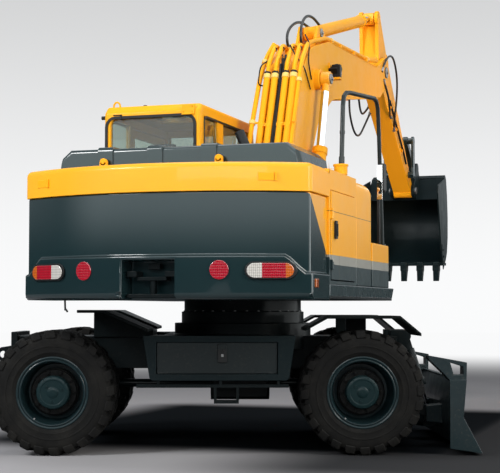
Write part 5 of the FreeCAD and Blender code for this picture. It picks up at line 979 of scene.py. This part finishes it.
def hose(name, points, diameter, bodies):
    """A hose on a smooth curve through chosen points, with a steel end on each of its two bodies."""
    curve = bpy.data.curves.new(name, "CURVE")
    curve.dimensions = "3D"
    spline = curve.splines.new("NURBS")
    spline.points.add(len(points) - 1)
    for spot, point in zip(spline.points, points):
        spot.co = (*point, 1)
    spline.order_u = 3
    spline.use_endpoint_u = True
    spline.resolution_u = 8
    route = bpy.data.objects.new(name + "_route", curve)
    line = [tuple(corner.co) for corner in bpy.data.meshes.new_from_object(route).vertices]
    curve.bevel_depth = diameter / 2
    curve.bevel_resolution = 3
    curve.use_fill_caps = True
    tube = bpy.data.meshes.new_from_object(route)
    bpy.data.objects.remove(route)
    tube.materials.clear()
    tube.materials.append(hose_rubber)
    piece = bpy.data.objects.new(name, tube)
    bpy.context.scene.collection.objects.link(piece)
    for face in tube.polygons:
        face.use_smooth = True
    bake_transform(piece)
    length = sum(math.dist(*pair) for pair in zip(line, line[1:]))
    ends = ((bodies[0], points[0], points[1]), (bodies[1], points[-1], points[-2]))
    for body, end, inner in ends:
        fitting = bmesh.new()
        end = Vector(end)
        way = (Vector(inner) - end).normalized()
        for length, width, steps in ((0.055, 0.62, 16), (0.014, 0.85, 6)):
            rod(fitting, end - way * 0.012, end + way * length, diameter * width, steps)
        show(f"{name}_end_at_{body}", fitting, steel, body, 0.002)


barrel_body = body_holding["arm_cylinder_barrel"]
for name, diameter, far_body, line in (
    ("boom_hose_left", 0.030, barrel_body, (
        (-0.107, 1.96, 1.33), (-0.107, 1.91, 1.47), (-0.107, 2.10, 1.545), (-0.107, 2.50, 1.490),
        (-0.107, 2.90, 1.270), (-0.107, 3.16, 1.125),
    )),
    ("boom_hose_right", 0.030, barrel_body, (
        (-0.007, 2.12, 1.29), (-0.007, 2.09, 1.46), (-0.007, 2.34, 1.575), (-0.007, 2.66, 1.490),
        (-0.007, 2.98, 1.250), (-0.007, 3.20, 1.110),
    )),
    ("nose_hose_long", 0.026, "arm", (
        (-0.150, 4.42, 0.03), (-0.165, 4.34, -0.17), (-0.170, 4.37, -0.40), (-0.175, 4.51, -0.62),
        (-0.175, 4.72, -0.72), (-0.165, 4.98, -0.69), (-0.127, 5.24, -0.60),
    )),
    ("nose_hose_short", 0.026, "arm", (
        (-0.120, 4.70, 0.00), (-0.140, 4.78, -0.22), (-0.160, 4.86, -0.44), (-0.160, 5.00, -0.54),
        (-0.127, 5.24, -0.50),
    )),
    ("arm_hose_long", 0.026, "arm", (
        (0.186, 4.84, 0.10), (0.215, 5.05, 0.20), (0.228, 5.34, 0.14), (0.222, 5.50, -0.07),
        (0.215, 5.53, -0.30), (0.190, 5.45, -0.56), (0.155, 5.36, -0.76), (0.127, 5.40, -0.92),
    )),
    ("arm_hose_short", 0.026, "arm", (
        (0.186, 4.88, -0.04), (0.215, 4.92, -0.24), (0.200, 4.98, -0.44), (0.160, 5.10, -0.60),
        (0.127, 5.30, -0.70),
    )),
):
    hose(name, [on_boom(*point) for point in line], diameter, ("boom", far_body))


# ------------------------------------------------------------------ right-hand body
# The tank and valve covers on the right, and the doors on both sides: folded steel panels, yellow
# over a pale stripe and slate, with black moulded handles, a bent grab bar and ribbed treads.

for name, rounding in (
    ("right_body", 0.010), ("step_box", 0.010), ("body_door_left", 0.005),
    ("body_door_right", 0.005),
):
    dressed(name, livery, rounding, 3)
for label, side in (("right", 1), ("left", -1)):
    handle = bmesh.new()
    at = (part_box(f"body_door_{label}")[side > 0][0], slew_axis.y - 1.34, 1.90)
    for near, far, half, low, high in (
        (-0.008, 0.004, 0.030, -0.075, 0.075), (0.002, 0.014, 0.012, -0.055, 0.050),
    ):
        inner, outer = sorted((side * near, side * far))
        block(handle, (inner, -half, low), (outer, half, high), at)
    show(f"door_handle_{label}", handle, bare_black, f"body_door_{label}", 0.003)
body_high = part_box("right_body")[1]
rail_grey = gloss_paint(
    "rail_paint", (0.015, 0.021, 0.022), (0.012, 0.017, 0.018), 0.03, 0.15, 0.1,
)
pipe("grab_bar", [(body_high[0] - 0.10, body_high[1] + ahead, up) for ahead, up in (
    (-0.02, 2.20), (0.09, 2.19), (0.12, 2.10), (0.12, 1.85),
)], 0.013, rail_grey, "upper", 0.08)
treads = bmesh.new()
first_tread, tread_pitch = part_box("step_box")[0][1] + 0.10, 0.115
for step in range(5):
    y = first_tread + step * tread_pitch
    block(treads, (0.78, y, 1.861), (1.16, y + 0.030, 1.867))
show("step_treads", treads, bare_black, "upper", 0.001)


# ------------------------------------------------------------------ handrail
# One bent steel tube from the engine cover over the walkway down to the step box, sleeved where
# its two halves join, and clamped to its two feet by collars.

dressed("handrail", rail_grey, 0.0)
rail_low, rail_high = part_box("handrail")
rail_x = (rail_low[0] + rail_high[0]) / 2
sleeves = bmesh.new()
foot = Vector((rail_x, slew_axis.y - 0.880, band_top))
lean = Vector((0, 0.065 / 0.61, 1))
for low, high, radius in ((0.01, 0.09, 0.033), (0.09, 0.16, 0.025), (0.36, 0.39, 0.023)):
    rod(sleeves, foot + lean * low, foot + lean * high, radius, 24)
show("rail_sleeves", sleeves, rail_grey, "upper", 0.003)
collar = bmesh.new()
for low, high, radius in ((-0.004, 0.075, 0.058), (0.070, 0.090, 0.066)):
    rod(collar, foot + Vector((0, -0.02, low)), foot + Vector((0, -0.02, high)), radius, 32)
show("rail_collar", collar, yellow, "upper", 0.004)


# ------------------------------------------------------------------ exhaust and mirror
# The tailpipe is a black steel tube cut off square, open to its bore. The mirror is a flat glass in
# a moulded black shell on a steel arm from the step box.

dressed("exhaust_pipe", bare_black, 0.002)
dressed("right_mirror", bare_black, 0.008, 3)
mirror_low, mirror_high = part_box("right_mirror")
pane = bmesh.new()
block(
    pane, (mirror_low[0] + 0.015, mirror_low[1] - 0.0015, mirror_high[2] - 0.345),
    (mirror_high[0] - 0.015, mirror_low[1] + 0.003, mirror_high[2] - 0.015),
)
show("mirror_glass", pane, plain("silvered_glass", (0.85, 0.86, 0.87), 0.03, 1.0), "upper", 0.001)


# ------------------------------------------------------------------ cab
# Pressed-steel cab on rubber mounts: rounded roof edges, glass bonded in black seals, a bracket
# plate for a work lamp on three bolts, and small fittings on the roof.

cab_low, cab_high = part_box("cab_shell")
dressed("cab_shell", yellow, 0.004, 2)
dressed("cab_door", yellow, 0)
cab_pane = Finish("cab_glass").wear(
    Base_Color=(0.52, 0.60, 0.55), Roughness=0.02, IOR=1.45, Transmission_Weight=0.95,
).holder
for name in ("cab_glass", "cab_door_glass"):
    dressed(name, cab_pane, 0.0)


def seal(made, spot, low, high, corner, wide, thick):
    """Adds a flat rubber frame round a window; spot places a point of (across, up, out)."""
    quarter = 6
    rings = []
    for grown, out in ((0, 0), (0, thick), (wide, thick), (wide, 0)):
        ring = []
        for number, (x, z) in enumerate(((1, 1), (0, 1), (0, 0), (1, 0))):
            middle_x = high[0] - corner if x else low[0] + corner
            middle_z = high[1] - corner if z else low[1] + corner
            for step in range(quarter + 1):
                angle = math.radians(90 * (number + step / quarter))
                across = middle_x + (corner + grown) * math.cos(angle)
                up = middle_z + (corner + grown) * math.sin(angle)
                ring.append(made.verts.new(spot(across, up, out)))
        rings.append(ring)
    for inner, outer in zip(rings, rings[1:] + rings[:1]):
        for place in range(len(inner)):
            made.faces.new((inner[place - 1], inner[place], outer[place], outer[place - 1]))
    bmesh.ops.recalc_face_normals(made, faces=made.faces)


seals = bmesh.new()
for spot, low, high, corner, wide, thick in (
    (lambda across, up, out: (across, cab_low[1] - 0.003 - out, up),
     (cab_low[0] + 0.068, 2.345), (cab_high[0] - 0.068, 3.040), 0.075, 0.028, 0.008),
    (lambda across, up, out: (cab_high[0] - 0.001 + out, across, up),
     (cab_low[1] + 0.105, 2.345), (cab_low[1] + 1.30, 3.035), 0.060, 0.022, 0.007),
    (lambda across, up, out: (cab_low[0] + 0.018 - out, across, up),
     (cab_low[1] + 0.105, 2.345), (cab_low[1] + 0.560, 3.035), 0.050, 0.020, 0.007),
):
    seal(seals, spot, low, high, corner, wide, thick)
show("window_seals", seals, bare_black, "upper", 0.002)


def on_rear(x, ahead, up):
    """A point by the cab's rear wall: across, ahead of that wall, and up from the ground."""
    return x, cab_low[1] + ahead, up


fittings = bmesh.new()
block(fittings, on_rear(-0.385, -0.012, 3.058), on_rear(-0.262, 0.004, 3.150))
block(fittings, on_rear(-0.385, -0.030, 3.052), on_rear(-0.285, 0.004, 3.062))
for x, up in ((-0.372, 3.085), (-0.288, 3.085), (-0.285, 3.135)):
    bolt(fittings, on_rear(x, -0.012, up), (0, -1, 0), 0.008)
show("cab_lamp_bracket", fittings, yellow, "upper", 0.002)
small = bmesh.new()
block(small, on_rear(-1.085, -0.010, 3.075), on_rear(-0.995, 0.004, 3.083))
block(small, on_rear(-1.012, -0.016, 3.030), on_rear(-0.996, 0.004, 3.080))
rod(small, on_rear(cab_low[0] - 0.018, 0.05, 3.065), on_rear(cab_low[0] + 0.05, 0.05, 3.065), 0.018)
rod(small, on_rear(-0.800, 0.10, 3.150), on_rear(-0.800, 0.10, 3.176), 0.018)
show("cab_small_parts", small, bare_black, "upper", 0.002)
pipe("roof_eye", [on_rear(x, 0.08, up) for x, up in (
    (-1.115, 3.130), (-1.115, 3.190), (-1.095, 3.214), (-1.070, 3.214), (-1.050, 3.190),
    (-1.050, 3.130),
)], 0.009, yellow, "upper", 0.02)
roof_ribs = bmesh.new()
for x in (-0.98, -0.76, -0.54):
    block(roof_ribs, on_rear(x, 0.25, 3.150), on_rear(x + 0.075, 1.05, 3.1695))
show("roof_ribs", roof_ribs, yellow, "upper", 0.006)


# ------------------------------------------------------------------ operator's seat
# Suspension seat: foam cushions in dark woven cloth with sewn channels, on a black bellows base.
# The levers stand in moulded consoles.

seat_cloth = plain("seat_cloth", (0.030, 0.032, 0.036), 0.9, bump=0.0006, scale=300)


def cushion(name, low, high, crown, normal):
    """A crowned foam block with rounded sides, sewn across in two channels."""
    pinch, channel_at, channel_wide, channel_deep = 0.10, 0.30, 0.045, 0.75
    made = bmesh.new()
    block(made, low, high)
    bmesh.ops.subdivide_edges(made, edges=made.edges, cuts=15, use_grid_fill=True)
    low, high = Vector(low), Vector(high)
    middle, half = (low + high) / 2, (high - low) / 2
    across, along = (axis for axis in range(3) if axis != normal)
    for corner in made.verts:
        share = [(corner.co[axis] - middle[axis]) / half[axis] for axis in range(3)]
        pull = 1 - pinch * max(abs(share[across]), abs(share[along])) ** 6
        for axis in range(3):
            corner.co[axis] = middle[axis] + share[axis] * half[axis] * pull
        if share[normal] > 0:
            dome = (1 - share[across] ** 4) * (1 - share[along] ** 4)
            groove = sum(
                math.exp(-((share[along] - at) / channel_wide) ** 2)
                for at in (-channel_at, channel_at)
            )
            swell = crown * dome * (1 - channel_deep * groove)
            corner.co[normal] += swell * share[normal] - crown
    piece = show(name, made, seat_cloth, body_holding["operator_seat"], crease=80)
    soft = piece.modifiers.new("foam", "SUBSURF")
    soft.levels = soft.render_levels = 1
    return piece


seat_low, seat_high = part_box("operator_seat")
rear, front = seat_low[1], seat_high[1]


def in_seat(inset, start, end, foot, top):
    """The two corners of a block inset alike from both of the seat's sides."""
    return (seat_low[0] + inset, start, foot), (seat_high[0] - inset, end, top)


squab = cushion("seat_cushion", *in_seat(0.01, rear + 0.12, front, 1.885, 2.010), 0.022, 2)
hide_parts("operator_seat")
cushion("seat_back", *in_seat(0.02, rear + 0.005, rear + 0.135, 2.000, 2.600), 0.022, 1)
cushion("head_rest", *in_seat(0.12, rear + 0.015, rear + 0.110, 2.615, 2.830), 0.015, 1)
frame_work = bmesh.new()
for step in range(5):
    low = seat_low[2] + 0.04 + step * 0.065
    block(frame_work, *in_seat(0.06, rear + 0.17, front - 0.05, low, low + 0.030))
    block(frame_work, *in_seat(0.08, rear + 0.19, front - 0.07, low + 0.025, low + 0.070))
block(frame_work, *in_seat(0.04, rear + 0.14, front - 0.02, 1.835, 1.880))
block(frame_work, *in_seat(0.03, rear + 0.15, front - 0.03, seat_low[2], seat_low[2] + 0.045))
for x in (seat_low[0] + 0.17, seat_high[0] - 0.17):
    rod(frame_work, (x, rear + 0.060, 2.55), (x, rear + 0.060, 2.66), 0.008, 10)
show("seat_frame", frame_work, bare_black, body_holding["operator_seat"], 0.005)
dressed("cab_controls", bare_black, 0.006, 3)


# ------------------------------------------------------------------ work lamps
# Two black lamps with clear lenses on bolted yellow brackets, one each side of the boom's bend.

dressed("boom_lamps", bare_black, 0.006, 3)
lamp_low, lamp_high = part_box("boom_lamps")
lamp_glass = bmesh.new()
housings = bmesh.new()
brackets = bmesh.new()
for side in (-1, 1):
    at = Vector((boom_foot.x + side * 0.262, lamp_low[1], (lamp_low[2] + lamp_high[2]) / 2))
    arm_x = -side * 0.068
    block(brackets, (arm_x - 0.030, 0.02, -0.055), (arm_x + 0.030, 0.13, -0.043), at)
    plate_x = -side * 0.070
    block(brackets, (plate_x - 0.006, 0.02, -0.055), (plate_x + 0.006, 0.13, 0.075), at)
    bolt(brackets, at + Vector((-side * 0.062, 0.075, 0.035)), (side, 0, 0), 0.012)
    block(brackets, (-0.060, 0.020, -0.108), (0.050, 0.110, -0.085), at)
    block(lamp_glass, (-0.036, 0.146, -0.046), (0.036, 0.153, 0.046), at)
    block(housings, (-0.048, 0.030, -0.085), (0.048, 0.095, 0.055), at)
show("lamp_housings", housings, bare_black, "boom", 0.006, 3)
show("lamp_brackets", brackets, yellow, "boom", 0.002)
show("lamp_glass", lamp_glass, clear, "boom", 0.004)


# ------------------------------------------------------------------ cylinders
# Double-acting hydraulic cylinders: honed tubes painted yellow, and rods of hard chrome that carry
# forged eyes in the same yellow. The blade's pair is in the chassis's paint, and the chrome of its
# rods is darkened as painted shade.

for name in ("boom_cylinder_barrels", "arm_cylinder_barrel", "bucket_cylinder_barrel"):
    dressed(name, yellow)
dressed("blade_cylinder_barrels", slate_frame)
for name, eye_up, eye in (
    ("boom_cylinder_rods", True, 0.100), ("arm_cylinder_rod", True, 0.100),
    ("bucket_cylinder_rod", False, 0.085),
):
    low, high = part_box(name)
    end = high[2] - eye if eye_up else low[2] + eye
    bar = Finish(name + "_finish")
    from_eye = ((bar.along("Y") - (high[1] - eye)) ** 2 + (bar.along("Z") - end) ** 2) ** 0.5
    forged = from_eye.below(eye * 1.25)
    bar.wear(
        Base_Color=bar.blend(forged, (0.62, 0.63, 0.65), amber_yellow), Metallic=1 - forged,
        Roughness=forged * 0.28 + bar.noise(40).ramp(0.3, 0.7, 0.10, 0.14),
    )
    dressed(name, bar.holder, 0.003)
# The blade's rods are chrome darkened to a dim grey: painted shade.
chrome_with_painted_shade = plain("shaded_rod", (0.10, 0.10, 0.11), 0.25, 1.0)
dressed("blade_cylinder_rods", chrome_with_painted_shade, 0.003)


# ------------------------------------------------------------------ arm
# A tapered box arm of welded plate with cast ends. Clips and a steel pipe on its outer side carry
# the oil on to the bucket's cylinder, and slate links join that to the bucket.

dressed("arm", yellow, 0.007)
arm_toe = Vector(joint_named["bucket_curl"]["pos_m"])
arm_way = (arm_toe - arm_pin).normalized()
arm_out = Vector((1, 0, 0)).cross(arm_way) * -1


def on_arm(across, along, outside):
    """A point on the arm: across it, down it from its pin, and out from it away from the cab."""
    return arm_pin + Vector((across, 0, 0)) + along * arm_way + outside * arm_out


arm_pins = bmesh.new()
for side in (-1, 1):
    at = arm_toe + Vector((side * 0.118, 0, 0))
    rod(arm_pins, at, at + Vector((side * 0.075, 0, 0)), 0.048, 32)
show("arm_pins", arm_pins, steel, "arm", 0.003)
hose_clips = bmesh.new()
turn = Vector((0, 1, 0)).rotation_difference(arm_out).to_matrix().to_4x4()
for along in (0.62, 1.05, 1.48):
    at = on_arm(0.127, along, -0.02)
    lie = Matrix.Translation(at) @ turn
    laid_block(hose_clips, (-0.004, -0.05, -0.018), (0.022, 0.05, 0.018), lie)
    bolt(hose_clips, at + Vector((0.022, 0, 0)), (1, 0, 0), 0.009)
show("arm_hose_clips", hose_clips, yellow, "arm", 0.002)
route = (on_arm(0.145, 0.50, 0.0), on_arm(0.145, 1.62, -0.01), on_arm(0.150, 1.74, 0.03))
pipe("arm_pipe_outer", route, 0.013, bare_black, "arm", 0.06)
dressed("idler_links", slate)
dressed("bucket_link", slate, 0.006)


# ------------------------------------------------------------------ bucket
# A digging bucket of welded wear plate, in slate paint all over: bolted side cutters, wear strips
# over its back, and forged teeth on adapters pinned along the lip.

bucket_paint = gloss_paint(
    "bucket_paint", (0.0060, 0.0125, 0.0145), (0.0045, 0.0090, 0.0105), 0.03, 0.06, 0.06,
)
dressed("bucket", bucket_paint, 0.005)
bucket_low, bucket_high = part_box("bucket")
bucket_body = body_holding["bucket"]
bucket_mouth = Vector(((bucket_low[0] + bucket_high[0]) / 2, arm_toe.y, arm_toe.z))
adapters = bmesh.new()
for number in range(5):
    at = bucket_mouth + Vector((0.455 * (number / 2 - 1), 0.045, -1.045))
    block(adapters, (-0.047, -0.060, -0.085), (0.047, 0.060, 0.045), at)
    pin_left, pin_right = (at + Vector((side * 0.052, 0, -0.050)) for side in (-1, 1))
    rod(adapters, pin_left, pin_right, 0.013, 12)
show("tooth_adapters", adapters, bucket_paint, bucket_body, 0.012)
cutters = bmesh.new()
cutter_outline = (
    (0.000, -1.110), (0.090, -1.035), (0.060, -0.800), (-0.080, -0.760), (-0.090, -0.850),
)
for side in (-1, 1):
    low, high = sorted(bucket_mouth.x + side * reach for reach in (0.553, 0.566))
    outline = [(bucket_mouth.y + y, bucket_mouth.z + z) for y, z in cutter_outline]
    bar_of(cutters, outline, low, high)
    for z in (-0.84, -0.93, -1.01):
        spot = bucket_mouth + Vector((side * 0.566, -0.055 - (z + 0.84) * 0.45, z))
        bolt(cutters, spot, (side, 0, 0), 0.014)
show("side_cutters", cutters, bucket_paint, bucket_body, 0.003)
strips = bmesh.new()
for x in (-0.34, 0.0, 0.34):
    for (y0, z0), (y1, z1) in (
        ((0.205, -1.036), (0.395, -0.993)), ((0.410, -0.990), (0.605, -0.873)),
        ((0.620, -0.858), (0.733, -0.660)),
    ):
        way = Vector((0, y1 - y0, z1 - z0))
        middle = bucket_mouth + Vector((x, (y0 + y1) / 2, (z0 + z1) / 2))
        turn = Matrix.Rotation(math.atan2(way.z, way.y), 4, "X")
        low, high = (-0.045, -way.length / 2, -0.010), (0.045, way.length / 2, 0.006)
        laid_block(strips, low, high, Matrix.Translation(middle) @ turn)
show("wear_strips", strips, bucket_paint, bucket_body, 0.003)


# ------------------------------------------------------------------ undercarriage
# The chassis is a welded beam under a turned ring seat. Axles, blade, boxes and steps bolt to it,
# in near-black paints with a little dust. The tool boxes' doors have locks with steel keyholes.

box_paint, door_paint, fender_paint, blade_paint = (
    gloss_paint(name + "_paint", colour, deep, *looks) for name, colour, deep, *looks in (
        ("box", (0.0075, 0.0135, 0.0155), (0.0060, 0.0105, 0.0120), 0.04, 0.08, 0.05),
        ("door", (0.0050, 0.0090, 0.0100), (0.0038, 0.0070, 0.0078), 0.06, 0.15, 0.15),
        ("fender", (0.0034, 0.0052, 0.0054), (0.0025, 0.0040, 0.0042), 0.04, 0.04, 0.05),
        ("blade", (0.0110, 0.0210, 0.0245), (0.0085, 0.0165, 0.0190), 0.08, 0.20, 0.15),
    )
)
for name, finish, rounding in (
    ("platform", slate_frame, 0.005), ("side_skirts", slate, 0.008),
    ("engine_block", slate_frame, 0.010), ("dozer_blade", blade_paint, 0.004),
    ("blade_arms", slate_frame, 0.006), ("blade_mounts", slate_frame, 0.004),
    ("chassis_beam", slate_frame, 0.006), ("transfer_box", slate_frame, 0.006),
    ("steered_axle", slate_frame, 0.008), ("fixed_axle", slate_frame, 0.008),
    ("knuckle_near", slate_frame, 0.005), ("knuckle_far", slate_frame, 0.005),
    ("slewing_ring", slate_frame, 0.004), ("hanging_steps", slate_frame, 0.002),
    ("tool_box_near", box_paint, 0.005), ("tool_box_far", box_paint, 0.005),
    ("tool_box_door_near", door_paint, 0.004), ("tool_box_door_far", door_paint, 0.004),
    ("fenders", fender_paint, 0.004), ("fender_posts", slate_frame, 0.004),
):
    dressed(name, finish, rounding)
ring_bolts = bmesh.new()
for x, y in round_about(32, 0.545):
    at = (slew_foot.x + x, slew_foot.y + y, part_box("slewing_ring")[1][2] - 0.002)
    bolt(ring_bolts, at, (0, 0, 1), 0.013)
show("ring_bolts", ring_bolts, steel, body_holding["slewing_ring"])
fixed_hub, steered_hub = (
    Vector(wheels[f"wheel_{kind}_near"]["pos_m"]) for kind in ("fixed", "steered")
)
lengthways = (fixed_hub - steered_hub).normalized()
sideways = Vector((lengthways.y, -lengthways.x, 0))
on_ground = Matrix((lengthways, sideways, (0, 0, 1))).transposed().to_4x4()
chassis_lie = Matrix.Translation(slew_foot) @ on_ground
box_face = 1.197
locks = bmesh.new()
keys = bmesh.new()
for side in (-1, 1):
    for made, low, high, inner, outer in (
        (locks, (-0.223, 0.790), (-0.145, 0.905), -0.004, 0.006),
        (keys, (-0.195, 0.838), (-0.173, 0.862), 0.005, 0.013),
    ):
        near, far = sorted(side * (box_face + depth) for depth in (inner, outer))
        laid_block(made, (low[0], near, low[1]), (high[0], far, high[1]), chassis_lie)
    knob = chassis_lie @ Vector((-0.184, side * (box_face + 0.004), 0.885))
    rod(locks, knob, knob + sideways * side * 0.012, 0.010, 12)
show("box_locks", locks, bare_black, "chassis", 0.003)
show("box_keys", keys, steel, "chassis", 0.003)
